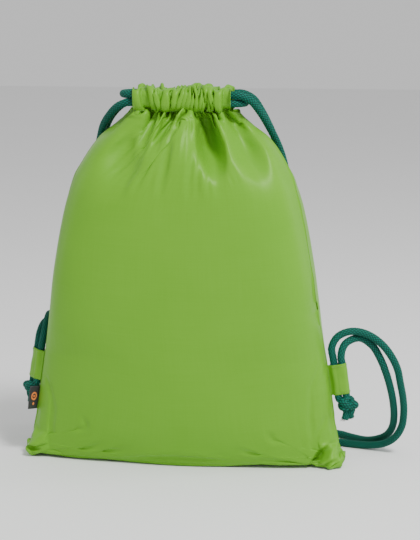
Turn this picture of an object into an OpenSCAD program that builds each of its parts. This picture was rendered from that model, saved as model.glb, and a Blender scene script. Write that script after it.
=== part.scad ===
// Drawstring sack bag, standing filled out with its mouth gathered shut.
// Two flat cloth panels are sewn together at the sides and along the bottom. Each
// panel ends at the top in a casing, a hemmed tunnel. Two cords run through both
// casings, turn at opposite ends, and each comes down its own side as a double
// shoulder strap to a cloth tab in the side seam, where it is knotted.
// X is across the bag, Y goes from the front panel to the back panel, Z is up.
// The origin is on the floor under the middle of the bag.

/* [Bag] */
// Width across the bottom corners
bag_w = 324; // [318:1:328]
// Thickness of the filled bag at its fullest
bag_d = 116; // [112:1:118]
// Thickness of the cloth with its lining
wall = 1.5; // [1.2:0.1:1.8]
// Straight columns around each panel
panel_cols = 26; // [20:2:32]

/* [Casing] */
// Width of the gathered casing
casing_w = 92; // [88:1:96]
// Half of the casing's thickness
casing_r = 8; // [7.8:0.1:8.4]
// Clear radius around each cord in the tunnel
tunnel_r = 4.5; // [4.2:0.1:4.7]
// Length of one stitch
stitch_len = 2.6; // [2:0.1:3]
// Distance from stitch to stitch
stitch_pitch = 4; // [3.6:0.1:5]

/* [Cord] */
// Diameter of the braided cord
cord_d = 7.5; // [6.5:0.1:7.5]
// Flat sides around a strap's tube
cord_sides = 10; // [8:1:12]

/* [Tab] */
// Height of the side tab along the seam
tab_h = 31; // [28:1:32]
// How far the tab stands out from its seam
tab_out = 17.4; // [17.3:0.1:17.8]
// Outside thickness of the folded tab
tab_t = 9.4; // [9.4:0.1:9.6]
// Angle that the left tab is folded back along the bag
left_fold = 48; // [42:1:52]
// Radius of the knot's two lobes
knot_r = 8.2; // [7.5:0.1:8.4]
// Distance between the centres of the lobes
knot_w = 7; // [5:0.1:7.2]

/* [Label] */
// How far the flag label stands out
label_w = 12; // [10:0.5:13]
// Height of the flag label
label_h = 24; // [20:1:26]
// Thickness of the folded label
label_t = 0.8; // [0.6:0.1:1]
// Angle that the label leans forward
label_lean = 50; // [45:1:54]

/* [Hidden] */
$fn = 48;
gap = 0.3;

kx = bag_w / 324;
ky = bag_d / 116;
cord_r = cord_d / 2;

// Rows of the filled bag: height, half width, half depth, squareness of the outline.
PROFILE = [
    [  0.0, 158.0, 21.0, 2.0],
    [  5.0, 162.0, 27.0, 1.9],
    [ 12.0, 161.0, 31.5, 1.8],
    [ 24.0, 157.0, 36.5, 1.8],
    [ 44.0, 153.0, 41.5, 1.8],
    [ 64.0, 150.2, 45.0, 1.8],
    [113.5, 142.7, 50.5, 2.0],
    [143.5, 138.0, 53.0, 2.6],
    [193.5, 132.0, 56.0, 3.1],
    [243.5, 123.0, 58.0, 3.1],
    [273.5, 116.4, 57.5, 3.0],
    [293.5, 110.0, 55.5, 2.8],
    [313.5,  98.0, 50.0, 2.7],
    [323.5,  91.0, 46.0, 2.6],
    [333.5,  82.5, 40.5, 2.6],
    [343.5,  70.5, 32.0, 2.7],
    [352.5,  57.5, 21.0, 3.4],
    [356.7,  50.0, 15.4, 5.0]
];
ROWS = len(PROFILE);

// The casings hinge on their stitch lines, just above the panels' top edges.
hinge_y = 14.6;
hinge_z = 358;
left_z = 366;
right_z = 374;
end_x = casing_w / 2;

// Height of the middle of each tab and of the label, and the lean of the seam there.
right_tab_z = 89;
left_tab_z = 94;
label_z = 60;
seam_lean = 8.6;
axis_out = 3.0;
label_axis_out = 1.5;

// Routes of the four straps, from the end of the casing to the top of the tab.
RIGHT_FRONT = [
    [46.3, -14.6, 374], [57, -14.6, 374], [67, -10, 369], [75, 0, 358], [82, 12, 344],
    [89, 24, 328], [94, 35, 312], [98, 45, 292], [102, 49, 262], [104, 51, 225],
    [107, 51, 185], [110, 53, 140], [112, 56, 95], [114, 62, 55], [118, 69, 26],
    [127, 75, 9], [140, 77, 4], [155, 74, 4], [172, 69, 4], [188, 64, 5],
    [202, 58, 9], [213, 50, 18], [220, 45, 31], [222, 40, 47], [221, 35, 64],
    [218, 30, 81], [215, 25, 96], [209, 20, 110], [200.5, 16.5, 122], [190, 13.5, 131],
    [178.5, 10.5, 136.5], [166, 7, 137.5], [155, 4, 132.5], [149.5, 1, 122]
];
RIGHT_BACK = [
    [46.3, 14.6, 374], [57, 14.6, 374], [67, 15, 369], [75, 19, 357], [81, 26, 344],
    [87, 35, 328], [90, 45, 312], [90, 53, 292], [91, 57, 262], [92, 58, 225],
    [95, 59, 185], [97, 60, 140], [99, 64, 95], [100, 72, 55], [101, 85, 26],
    [105, 98, 9], [118, 109, 4], [135, 113, 4], [152, 108, 4], [167, 96, 4],
    [182, 84, 5], [194, 75, 9], [204, 66, 16], [210, 56, 27], [212, 47, 41],
    [211, 38.5, 58], [208, 31.5, 75], [203.5, 25.5, 92], [197.5, 21.5, 107.5], [189.5, 19, 121],
    [177, 15.5, 129.5], [164, 5.5, 126.5], [160, 1.5, 120]
];
LEFT_FRONT = [
    [-46.3, -14.6, 366], [-55, -14.6, 366], [-65, -10, 362], [-75, 0, 353], [-84, 12, 341],
    [-90, 24, 326], [-95, 35, 310], [-99, 45, 290], [-103, 49, 262], [-106, 51, 225],
    [-109, 51, 185], [-112, 53, 140], [-114, 57, 95], [-113, 63, 55], [-108, 72, 26],
    [-99, 82, 9], [-93, 95, 4], [-97, 109, 4], [-110, 116, 4], [-123, 111, 8],
    [-131, 101, 19], [-136, 91, 36], [-140, 82, 54], [-143, 73, 72], [-145.5, 65, 88.5],
    [-147.5, 58, 103.5], [-149, 50.5, 117], [-149.5, 42, 127.5], [-150.5, 30, 134], [-151.5, 19, 132],
    [-153, 12, 125]
];
LEFT_BACK = [
    [-46.3, 14.6, 366], [-55, 14.6, 366], [-65, 15, 362], [-75, 19, 353], [-83, 26, 341],
    [-88, 35, 326], [-91, 45, 310], [-91, 53, 290], [-91, 57, 262], [-93, 58, 225],
    [-96, 59, 185], [-99, 60, 140], [-101, 64, 95], [-99, 72, 55], [-91, 83, 26],
    [-82, 94, 9], [-77, 107, 4], [-81, 123, 4], [-96, 132, 4], [-113, 130, 5],
    [-128, 121, 12], [-137, 110, 27], [-141, 100, 47], [-143, 91, 68], [-145, 81.5, 87],
    [-146, 72, 105.5], [-147, 61, 122], [-147, 48, 135], [-146.5, 32, 142], [-145, 16, 141],
    [-145.5, 4.5, 130]
];

function unit(v) = v / norm(v);
// Linear reading of one column of the profile at a height.
function prof(z, col, i = 0) =
    (i >= ROWS - 2 || z <= PROFILE[i + 1][0])
        ? PROFILE[i][col] + (PROFILE[i + 1][col] - PROFILE[i][col])
            * (z - PROFILE[i][0]) / (PROFILE[i + 1][0] - PROFILE[i][0])
        : prof(z, col, i + 1);
function half_w(z) = kx * prof(z, 1);
function half_d(z) = ky * prof(z, 2);
function pw(v, e) = v <= 0 ? 0 : pow(v, e);

// Point on a row's outline at angle q from the -X end (0) to the +X end (180).
function row_pt(r, q, inset, side) =
    let (a = kx * r[1] - inset, b = ky * r[2] - inset, e = 2 / r[3])
    [-a * sign(cos(q)) * pw(abs(cos(q)), e), side * b * (q == 0 || q == 180 ? 0 : pw(sin(q), e))];
// The panel's outer face on a row at a distance x from the middle.
function face_y(z, x) =
    half_d(z) * pw(1 - pw(abs(x) / half_w(z), prof(z, 3)), 1 / prof(z, 3));

// Half of the filled bag as a closed shell, side -1 for the front and 1 for the back.
module panel(side) {
    n = panel_cols;
    outer = [for (r = PROFILE) for (j = [0:n])
        let (p = row_pt(r, 180 * j / n, 0, side)) [p[0], p[1], r[0]]];
    inner = [for (i = [0:ROWS - 1]) for (j = [0:n])
        let (r = PROFILE[i], p = row_pt(r, 180 * j / n, wall, side))
        [p[0], p[1], i == 0 ? wall : r[0]]];
    m = n + 1;
    o = ROWS * m;
    top = (ROWS - 1) * m;
    quads = concat(
        [for (i = [0:ROWS - 2]) for (j = [0:n - 1])
            [i * m + j, (i + 1) * m + j, (i + 1) * m + j + 1, i * m + j + 1]],
        [for (i = [0:ROWS - 2]) for (j = [0:n - 1])
            [o + i * m + j, o + i * m + j + 1, o + (i + 1) * m + j + 1, o + (i + 1) * m + j]],
        [for (j = [0:n - 1]) [top + j, o + top + j, o + top + j + 1, top + j + 1]],
        [for (i = [0:ROWS - 2]) [i * m, o + i * m, o + (i + 1) * m, (i + 1) * m]],
        [for (i = [0:ROWS - 2])
            [i * m + n, (i + 1) * m + n, o + (i + 1) * m + n, o + i * m + n]],
        [[0, n, o + n, o]]
    );
    tris = concat(
        [for (q = quads) [q[0], q[1], q[2]]],
        [for (q = quads) [q[0], q[2], q[3]]],
        [for (j = [1:n - 1]) [0, j, j + 1]],
        [for (j = [1:n - 1]) [o, o + j + 1, o + j]]
    );
    faces = side < 0 ? tris : [for (t = tris) [t[2], t[1], t[0]]];
    polyhedron(points = concat(outer, inner), faces = faces, convexity = 6);
}

// Strip of overlocked allowance standing in from a side seam, side 1 for +X.
module side_strip(side) {
    zs = [for (i = [1:ROWS - 2]) PROFILE[i][0]];
    pts = [for (z = zs) for (c = [[0.9, -0.6], [8, -0.6], [8, 0.6], [0.9, 0.6]])
        [side * (half_w(z + 3) - wall - c[0]), c[1], z + 3]];
    k = len(zs);
    quads = concat(
        [for (i = [0:k - 2]) for (j = [0:3])
            [i * 4 + j, (i + 1) * 4 + j, (i + 1) * 4 + (j + 1) % 4, i * 4 + (j + 1) % 4]],
        [[0, 1, 2, 3]], [[4 * k - 1, 4 * k - 2, 4 * k - 3, 4 * k - 4]]
    );
    tris = concat([for (q = quads) [q[0], q[1], q[2]]], [for (q = quads) [q[0], q[2], q[3]]]);
    polyhedron(points = pts, faces = side > 0 ? [for (t = tris) [t[2], t[1], t[0]]] : tris,
        convexity = 4);
}

// Ring directions along a route: mean of the two neighbouring runs.
function run_dirs(p, t0, t1) = [for (i = [0:len(p) - 1])
    i == 0 ? t0 : i == len(p) - 1 ? t1
    : unit(unit(p[i + 1] - p[i]) + unit(p[i] - p[i - 1]))];
// Carries a sideways direction along the route without twist.
function carry(t, i, u) = let (w = unit(u - (u * t[i]) * t[i]))
    i == len(t) - 1 ? [w] : concat([w], carry(t, i + 1, w));

module tube(p, t0, t1, r) {
    s = cord_sides;
    t = run_dirs(p, t0, t1);
    u = carry(t, 0, [0.1, 0.3, 1]);
    pts = [for (i = [0:len(p) - 1]) for (j = [0:s - 1])
        p[i] + r * (cos(360 * j / s) * u[i] + sin(360 * j / s) * cross(t[i], u[i]))];
    k = len(p);
    quads = [for (i = [0:k - 2]) for (j = [0:s - 1])
        [i * s + j, (i + 1) * s + j, (i + 1) * s + (j + 1) % s, i * s + (j + 1) % s]];
    polyhedron(points = pts, faces = concat(
        [for (q = quads) [q[0], q[1], q[2]]], [for (q = quads) [q[0], q[2], q[3]]],
        [[for (j = [0:s - 1]) j]], [[for (j = [0:s - 1]) k * s - 1 - j]]), convexity = 8);
}

// Tab frame: origin on the hinge line, X out, Y back, Z up along the seam.
// side 1 is the right of the bag, fold turns the tab backward.
module tab_frame(side, z, fold, out = axis_out) {
    translate([side * (half_w(z) + out), 0, z])
        rotate([0, -side * seam_lean, 0])
            mirror([side < 0 ? 1 : 0, 0, 0])
                rotate([0, 0, fold])
                    children();
}
// Where the tab frame puts a point.
function in_tab(side, z, fold, p) =
    let (x = p[0] * cos(fold) - p[1] * sin(fold), y = p[0] * sin(fold) + p[1] * cos(fold),
         c = cos(seam_lean), s = sin(seam_lean))
    [side * (half_w(z) + axis_out + x * c - p[2] * s), y, z + x * s + p[2] * c];

// Where the two strands run through a tab, and how far they stand out of its top.
lane_1 = gap + tab_t / 2;
lane_2 = gap + tab_out - tab_t / 2;
lane_top = tab_h / 2 + 1;

module stadium(x0, x1, r) {
    translate([x0, 0]) circle(r = r);
    translate([x1, 0]) circle(r = r);
    translate([x0, -r]) square([x1 - x0, 2 * r]);
}

module tab(side, z, fold) {
    tab_frame(side, z, fold) translate([0, 0, -tab_h / 2]) linear_extrude(height = tab_h)
        difference() {
            stadium(lane_1, lane_2, tab_t / 2);
            stadium(lane_1, lane_2, tab_t / 2 - 0.5);
        }
}

// Stitched root of a tab or label, between the bag's wall and the hinge line.
module seam_root(side, z, h, t, out, free) {
    tab_frame(side, z, 0, out) translate([-out + 0.2, -t / 2, -h / 2])
        cube([out - 0.2 - free, t, h]);
}

module in_tab_cords(side, z, fold) {
    tab_frame(side, z, fold)
        for (x = [lane_1, lane_2])
            translate([x, 0, -tab_h / 2 - 2]) cylinder(r = cord_r, h = lane_top + tab_h / 2 + 2);
}

module knot(side, z, fold) {
    cx = 2.2 + knot_r + knot_w / 2;
    cz = -tab_h / 2 - 3 - knot_r;
    tab_frame(side, z, fold) union() {
        for (x = [-knot_w / 2, knot_w / 2]) translate([cx + x, 0, cz]) sphere(r = knot_r);
        translate([cx - knot_w / 2, 0, cz]) rotate([0, 90, 0]) cylinder(r = knot_r, h = knot_w);
        for (x = [lane_1, lane_2]) {
            translate([x, 0, cz]) cylinder(r = cord_r, h = -tab_h / 2 - 2 - cz);
            translate([x + 1, 0, cz - knot_r - 6]) cylinder(r = cord_r, h = knot_r + 6);
        }
    }
}

module casing(side) {
    translate([-casing_w / 2, 0, 0]) rotate([90, 0, 90]) linear_extrude(height = casing_w)
        translate([side * hinge_y, 0]) difference() {
            union() {
                translate([0, right_z]) circle(r = casing_r);
                translate([-casing_r, left_z]) square([2 * casing_r, right_z - left_z]);
                polygon([[-casing_r, left_z], [-1, hinge_z], [1, hinge_z], [casing_r, left_z]]);
                translate([0, hinge_z]) circle(r = 1);
            }
            union() {
                translate([0, right_z]) circle(r = tunnel_r);
                translate([0, left_z]) circle(r = tunnel_r);
                translate([-tunnel_r, left_z]) square([2 * tunnel_r, right_z - left_z]);
            }
        }
}

// Line of stitches that closes the casing, on the panel's face.
module stitches(side) {
    z = 354.6;
    n = floor(80 / stitch_pitch / 2);
    for (i = [-n:n]) {
        x = i * stitch_pitch;
        translate([x - stitch_len / 2, side * (face_y(z, abs(x) + stitch_len / 2) + 0.7) - 0.25, z])
            cube([stitch_len, 0.5, 0.5]);
    }
}

module tunnel_cord(side, z) {
    translate([-end_x, side * hinge_y, z]) rotate([0, 90, 0])
        cylinder(r = cord_r, h = 2 * end_x);
}

// Half turn from the front tunnel to the back tunnel at one end of the casings.
module cord_turn(end, z) {
    translate([end * (end_x + gap), 0, z]) rotate([0, 0, end > 0 ? -90 : 90])
        rotate_extrude(angle = 180) translate([hinge_y, 0]) circle(r = cord_r);
}

// A strap: its route, then straight down into its lane of the tab.
module strap(route, side, z, fold, lane) {
    c = cos(seam_lean);
    s = sin(seam_lean);
    tube(concat(route, [in_tab(side, z, fold, [lane, 0, lane_top + 5]),
            in_tab(side, z, fold, [lane, 0, lane_top + gap])]),
        [side, 0, 0], [side * s, 0, -c], cord_r);
}

module front_panel() { color([0.42, 0.64, 0.22]) panel(-1); }
module back_panel() { color([0.38, 0.60, 0.20]) panel(1); }
module left_side_seam() { color([0.30, 0.48, 0.16]) side_strip(-1); }
module right_side_seam() { color([0.30, 0.48, 0.16]) side_strip(1); }
module bottom_seam() {
    color([0.30, 0.48, 0.16]) translate([-146, -0.9, wall + 0.1]) cube([292, 1.8, 8]);
}
module front_casing() { color([0.47, 0.70, 0.28]) casing(-1); }
module back_casing() { color([0.42, 0.64, 0.24]) casing(1); }
module front_casing_stitch() { color([0.34, 0.56, 0.18]) stitches(-1); }
module back_casing_stitch() { color([0.34, 0.56, 0.18]) stitches(1); }
module right_tab() { color([0.52, 0.71, 0.28]) tab(1, right_tab_z, 0); }
module left_tab() { color([0.52, 0.71, 0.28]) tab(-1, left_tab_z, left_fold); }
module right_tab_bartack() { color([0.34, 0.56, 0.18]) seam_root(1, right_tab_z, tab_h - 2, 0.8, axis_out, 0.9); }
module left_tab_bartack() { color([0.34, 0.56, 0.18]) seam_root(-1, left_tab_z, tab_h - 2, 0.8, axis_out, 0.9); }
module label() {
    color([0.06, 0.06, 0.07]) tab_frame(-1, label_z, -label_lean, label_axis_out)
        translate([0.3, -label_t / 2, -label_h / 2]) cube([label_w, label_t, label_h]);
}
module label_stitch() { color([0.34, 0.56, 0.18]) seam_root(-1, label_z, label_h - 2, 0.8, label_axis_out, 0.7); }

module right_cord_tunnel_front() { color([0.01, 0.36, 0.30]) tunnel_cord(-1, right_z); }
module right_cord_tunnel_back() { color([0.01, 0.36, 0.30]) tunnel_cord(1, right_z); }
module right_cord_turn() { color([0.01, 0.36, 0.30]) cord_turn(-1, right_z); }
module right_strap_front() {
    color([0.01, 0.36, 0.30]) strap(RIGHT_FRONT, 1, right_tab_z, 0, lane_1);
}
module right_strap_back() {
    color([0.01, 0.36, 0.30]) strap(RIGHT_BACK, 1, right_tab_z, 0, lane_2);
}
module right_cord_in_tab() { color([0.01, 0.36, 0.30]) in_tab_cords(1, right_tab_z, 0); }
module right_knot() { color([0.01, 0.33, 0.27]) knot(1, right_tab_z, 0); }

module left_cord_tunnel_front() { color([0.01, 0.36, 0.30]) tunnel_cord(-1, left_z); }
module left_cord_tunnel_back() { color([0.01, 0.36, 0.30]) tunnel_cord(1, left_z); }
module left_cord_turn() { color([0.01, 0.36, 0.30]) cord_turn(1, left_z); }
module left_strap_front() {
    color([0.01, 0.36, 0.30]) strap(LEFT_FRONT, -1, left_tab_z, left_fold, lane_2);
}
module left_strap_back() {
    color([0.01, 0.36, 0.30]) strap(LEFT_BACK, -1, left_tab_z, left_fold, lane_1);
}
module left_cord_in_tab() { color([0.01, 0.36, 0.30]) in_tab_cords(-1, left_tab_z, left_fold); }
module left_knot() { color([0.01, 0.33, 0.27]) knot(-1, left_tab_z, left_fold); }

front_panel();
back_panel();
left_side_seam();
right_side_seam();
bottom_seam();
front_casing();
back_casing();
front_casing_stitch();
back_casing_stitch();
left_tab();
right_tab();
left_tab_bartack();
right_tab_bartack();
label();
label_stitch();
right_cord_tunnel_front();
right_cord_tunnel_back();
right_cord_turn();
right_strap_front();
right_strap_back();
right_cord_in_tab();
right_knot();
left_cord_tunnel_front();
left_cord_tunnel_back();
left_cord_turn();
left_strap_front();
left_strap_back();
left_cord_in_tab();
left_knot();
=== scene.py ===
import bpy
import math
import numpy as np
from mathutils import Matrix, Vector


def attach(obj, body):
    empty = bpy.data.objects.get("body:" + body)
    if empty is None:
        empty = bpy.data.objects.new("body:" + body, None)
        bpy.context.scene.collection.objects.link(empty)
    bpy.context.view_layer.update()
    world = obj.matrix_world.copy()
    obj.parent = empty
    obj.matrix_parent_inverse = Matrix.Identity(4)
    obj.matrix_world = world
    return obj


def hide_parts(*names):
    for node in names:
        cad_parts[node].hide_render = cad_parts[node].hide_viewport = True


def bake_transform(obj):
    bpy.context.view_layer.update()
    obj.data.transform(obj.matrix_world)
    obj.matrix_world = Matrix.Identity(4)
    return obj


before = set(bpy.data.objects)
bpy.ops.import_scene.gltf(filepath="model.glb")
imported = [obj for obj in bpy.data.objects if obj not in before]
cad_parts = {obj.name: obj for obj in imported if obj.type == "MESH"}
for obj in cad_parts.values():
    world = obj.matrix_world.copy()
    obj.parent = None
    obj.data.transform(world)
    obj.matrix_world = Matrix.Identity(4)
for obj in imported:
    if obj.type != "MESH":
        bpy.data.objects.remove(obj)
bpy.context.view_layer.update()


# ------------------------------------------------------------------ camera
AZ, EL, DIST = math.radians(8.5), math.radians(10.0), 1.7
AIM = Vector((0.0, 0.0, 0.190))
back = Vector((math.sin(AZ) * math.cos(EL), -math.cos(AZ) * math.cos(EL), math.sin(EL)))
cam = bpy.data.cameras.new("camera")
cam.lens, cam.sensor_width, cam.sensor_fit = 112.4, 36.0, "AUTO"
cam.shift_x, cam.shift_y = 0.0478, 0.0131
cam_obj = bpy.data.objects.new("camera", cam)
bpy.context.scene.collection.objects.link(cam_obj)
cam_obj.location = AIM + back * DIST
cam_obj.rotation_euler = (-back).to_track_quat("-Z", "Y").to_euler()
bpy.context.scene.camera = cam_obj

# ------------------------------------------------------------------ the numbers of part.scad, in mm
HINGE_Y, HINGE_Z = 14.6, 358.0
RIGHT_Z, LEFT_Z, END_X = 374.0, 366.0, 46.0
CORD_R = 3.75
LEAN = math.radians(8.6)
TAB_H, TAB_OUT, TAB_T, AXIS_OUT, LEFT_FOLD = 31.0, 17.4, 9.4, 3.0, 48.0
LANE_1, LANE_2 = 0.3 + TAB_T / 2, 0.3 + TAB_OUT - TAB_T / 2
LANE_TOP = TAB_H / 2 + 1
RIGHT_TAB_Z, LEFT_TAB_Z, LABEL_Z, LABEL_LEAN, LABEL_OUT = 89.0, 94.0, 60.0, 50.0, 1.5
PROFILE = np.array([
    [0.0, 158.0, 21.0, 2.0], [5.0, 162.0, 27.0, 1.9], [12.0, 161.0, 31.5, 1.8], [24.0, 157.0, 36.5, 1.8],
    [44.0, 153.0, 41.5, 1.8], [64.0, 150.2, 45.0, 1.8], [113.5, 142.7, 50.5, 2.0], [143.5, 138.0, 53.0, 2.6],
    [193.5, 132.0, 56.0, 3.1], [243.5, 123.0, 58.0, 3.1], [273.5, 116.4, 57.5, 3.0], [293.5, 110.0, 55.5, 2.8],
    [313.5, 98.0, 50.0, 2.7], [323.5, 91.0, 46.0, 2.6], [333.5, 82.5, 40.5, 2.6], [343.5, 70.5, 32.0, 2.7],
    [352.5, 57.5, 21.0, 3.4], [356.7, 50.0, 15.4, 5.0]])
RIGHT_FRONT = [[46.3,-14.6,374],[57,-14.6,374],[67,-10,369],[75,0,358],[82,12,344],[89,24,328],[94,35,312],[98,45,292],[102,49,262],[104,51,225],[107,51,185],[110,53,140],[112,56,95],[114,62,55],[118,69,26],[127,75,9],[140,77,4],[155,74,4],[172,69,4],[188,64,5],[202,58,9],[213,50,18],[220,45,31],[222,40,47],[221,35,64],[218,30,81],[215,25,96],[209,20,110],[200.5,16.5,122],[190,13.5,131],[178.5,10.5,136.5],[166,7,137.5],[155,4,132.5],[149.5,1,122]]
RIGHT_BACK = [[46.3,14.6,374],[57,14.6,374],[67,15,369],[75,19,357],[81,26,344],[87,35,328],[90,45,312],[90,53,292],[91,57,262],[92,58,225],[95,59,185],[97,60,140],[99,64,95],[100,72,55],[101,85,26],[105,98,9],[118,109,4],[135,113,4],[152,108,4],[167,96,4],[182,84,5],[194,75,9],[204,66,16],[210,56,27],[212,47,41],[211,38.5,58],[208,31.5,75],[203.5,25.5,92],[197.5,21.5,107.5],[189.5,19,121],[177,15.5,129.5],[164,5.5,126.5],[160,1.5,120]]
LEFT_FRONT = [[-46.3,-14.6,366],[-55,-14.6,366],[-65,-10,362],[-75,0,353],[-84,12,341],[-90,24,326],[-95,35,310],[-99,45,290],[-103,49,262],[-106,51,225],[-109,51,185],[-112,53,140],[-114,57,95],[-113,63,55],[-108,72,26],[-99,82,9],[-93,95,4],[-97,109,4],[-110,116,4],[-123,111,8],[-131,101,19],[-136,91,36],[-140,82,54],[-143,73,72],[-145.5,65,88.5],[-147.5,58,103.5],[-149,50.5,117],[-149.5,42,127.5],[-150.5,30,134],[-151.5,19,132],[-153,12,125]]
LEFT_BACK = [[-46.3,14.6,366],[-55,14.6,366],[-65,15,362],[-75,19,353],[-83,26,341],[-88,35,326],[-91,45,310],[-91,53,290],[-91,57,262],[-93,58,225],[-96,59,185],[-99,60,140],[-101,64,95],[-99,72,55],[-91,83,26],[-82,94,9],[-77,107,4],[-81,123,4],[-96,132,4],[-113,130,5],[-128,121,12],[-137,110,27],[-141,100,47],[-143,91,68],[-145,81.5,87],[-146,72,105.5],[-147,61,122],[-147,48,135],[-146.5,32,142],[-145,16,141],[-145.5,4.5,130]]


def half_w(z):
    return float(np.interp(z, PROFILE[:, 0], PROFILE[:, 1]))


def in_tab(side, z, fold, p, out=AXIS_OUT):
    """Where a tab's frame puts points: x out from the hinge line, y back, z up along the seam. mm."""
    p = np.asarray(p, float)
    f = math.radians(fold)
    x = p[..., 0] * math.cos(f) - p[..., 1] * math.sin(f)
    y = p[..., 0] * math.sin(f) + p[..., 1] * math.cos(f)
    c, s = math.cos(LEAN), math.sin(LEAN)
    return np.stack([side * (half_w(z) + out + x * c - p[..., 2] * s), y, z + x * s + p[..., 2] * c], -1)


# ------------------------------------------------------------------ materials
def nodes_of(mat):
    mat.use_nodes = True
    nt = mat.node_tree
    for n in list(nt.nodes):
        nt.nodes.remove(n)
    out = nt.nodes.new("ShaderNodeOutputMaterial")
    b = nt.nodes.new("ShaderNodeBsdfPrincipled")
    nt.links.new(b.outputs[0], out.inputs[0])
    return nt, b


class Net:
    """Short names for the nodes that the materials use."""

    def __init__(s, name):
        s.mat = bpy.data.materials.new(name)
        s.nt, s.b = nodes_of(s.mat)

    def n(s, kind, **kw):
        n = s.nt.nodes.new(kind)
        for k, v in kw.items():
            setattr(n, k, v)
        return n

    def link(s, a, b):
        s.nt.links.new(a, b)
        return b

    def val(s, sock, v):
        if hasattr(v, "links"):
            s.link(v, sock)
        else:
            sock.default_value = v

    def math(s, op, a, b=0.0, c=0.0, clamp=False):
        m = s.n("ShaderNodeMath", operation=op, use_clamp=clamp)
        for i, v in enumerate((a, b, c)):
            if i < len(m.inputs):
                s.val(m.inputs[i], v)
        return m.outputs[0]

    def mix(s, f, a, b):
        m = s.n("ShaderNodeMix", data_type="RGBA")
        s.val(m.inputs[0], f)
        s.val(m.inputs[6], a)
        s.val(m.inputs[7], b)
        return m.outputs[2]

    def scaled(s, vec, sx, sy, sz=1.0):
        m = s.n("ShaderNodeMapping")
        s.link(vec, m.inputs[0])
        m.inputs["Scale"].default_value = (sx, sy, sz)
        return m.outputs[0]

    def noise(s, vec, scale, detail=2.0, rough=0.5):
        t = s.n("ShaderNodeTexNoise")
        s.link(vec, t.inputs["Vector"])
        t.inputs["Scale"].default_value = scale
        t.inputs["Detail"].default_value = detail
        t.inputs["Roughness"].default_value = rough
        return t.outputs["Fac"]

    def wave(s, vec, scale, axis):
        t = s.n("ShaderNodeTexWave", wave_type="BANDS", bands_direction=axis, wave_profile="SIN")
        s.link(vec, t.inputs["Vector"])
        t.inputs["Scale"].default_value = scale
        t.inputs["Distortion"].default_value = 0.0
        return t.outputs["Fac"]

    def bump(s, height, strength, dist, before=None):
        m = s.n("ShaderNodeBump")
        m.inputs["Strength"].default_value = strength
        m.inputs["Distance"].default_value = dist
        s.link(height, m.inputs["Height"])
        if before is not None:
            s.link(before, m.inputs["Normal"])
        return m.outputs["Normal"]

    def ramp(s, fac, stops):
        r = s.n("ShaderNodeValToRGB")
        el = r.color_ramp.elements
        while len(el) < len(stops):
            el.new(0.5)
        for e, (p, c) in zip(el, stops):
            e.position = p
            e.color = c if len(c) == 4 else (*c, 1.0)
        s.link(fac, r.inputs[0])
        return r.outputs["Color"]


def cloth_material(name, base, dark, light, rough=0.40, weave=0.00062, strength=0.22):
    """Coated polyester: a fine plain weave, thread streaks, faint soiling and a satin gloss."""
    w = Net(name)
    uv = w.n("ShaderNodeTexCoord").outputs["UV"]
    k = 2 * math.pi / 20.0 / weave / 1.0
    wu = w.wave(uv, 1.0 / (weave * 20.0) * 2 * math.pi, "X")
    wv = w.wave(uv, 1.0 / (weave * 20.0) * 2 * math.pi, "Y")
    cross = w.math("MULTIPLY", wu, wv)
    fine = w.math("ADD", w.math("MULTIPLY", wu, 0.5), w.math("MULTIPLY", wv, 0.5))
    streak_u = w.noise(w.scaled(uv, 900, 14), 1.0, 2.0)
    streak_v = w.noise(w.scaled(uv, 14, 900), 1.0, 2.0)
    blot = w.noise(uv, 16.0, 4.0, 0.55)
    fold = w.noise(uv, 5.5, 2.0, 0.5)
    shade = w.math("ADD", w.math("MULTIPLY", streak_u, 0.30), w.math("MULTIPLY", streak_v, 0.30))
    shade = w.math("ADD", shade, w.math("MULTIPLY", blot, 0.40))
    col = w.ramp(shade, [(0.30, dark), (0.50, base), (0.72, light)])
    col = w.mix(w.math("MULTIPLY", cross, 0.10), col, (*[c * 0.72 for c in dark[:3]], 1.0))
    w.link(col, w.b.inputs["Base Color"])
    r = w.math("ADD", rough - 0.06, w.math("MULTIPLY", fold, 0.12))
    w.link(r, w.b.inputs["Roughness"])
    w.b.inputs["IOR"].default_value = 1.47
    w.b.inputs["Specular IOR Level"].default_value = 0.30
    w.b.inputs["Specular Tint"].default_value = (0.80, 1.0, 0.55, 1.0)
    w.b.inputs["Sheen Weight"].default_value = 0.06
    w.b.inputs["Sheen Roughness"].default_value = 0.35
    w.b.inputs["Sheen Tint"].default_value = (0.75, 1.0, 0.45, 1.0)
    crumple = w.bump(w.noise(uv, 70.0, 3.0, 0.55), 0.05, 0.004)
    w.link(w.bump(fine, strength, 0.00012, crumple), w.b.inputs["Normal"])
    return w.mat


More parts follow.
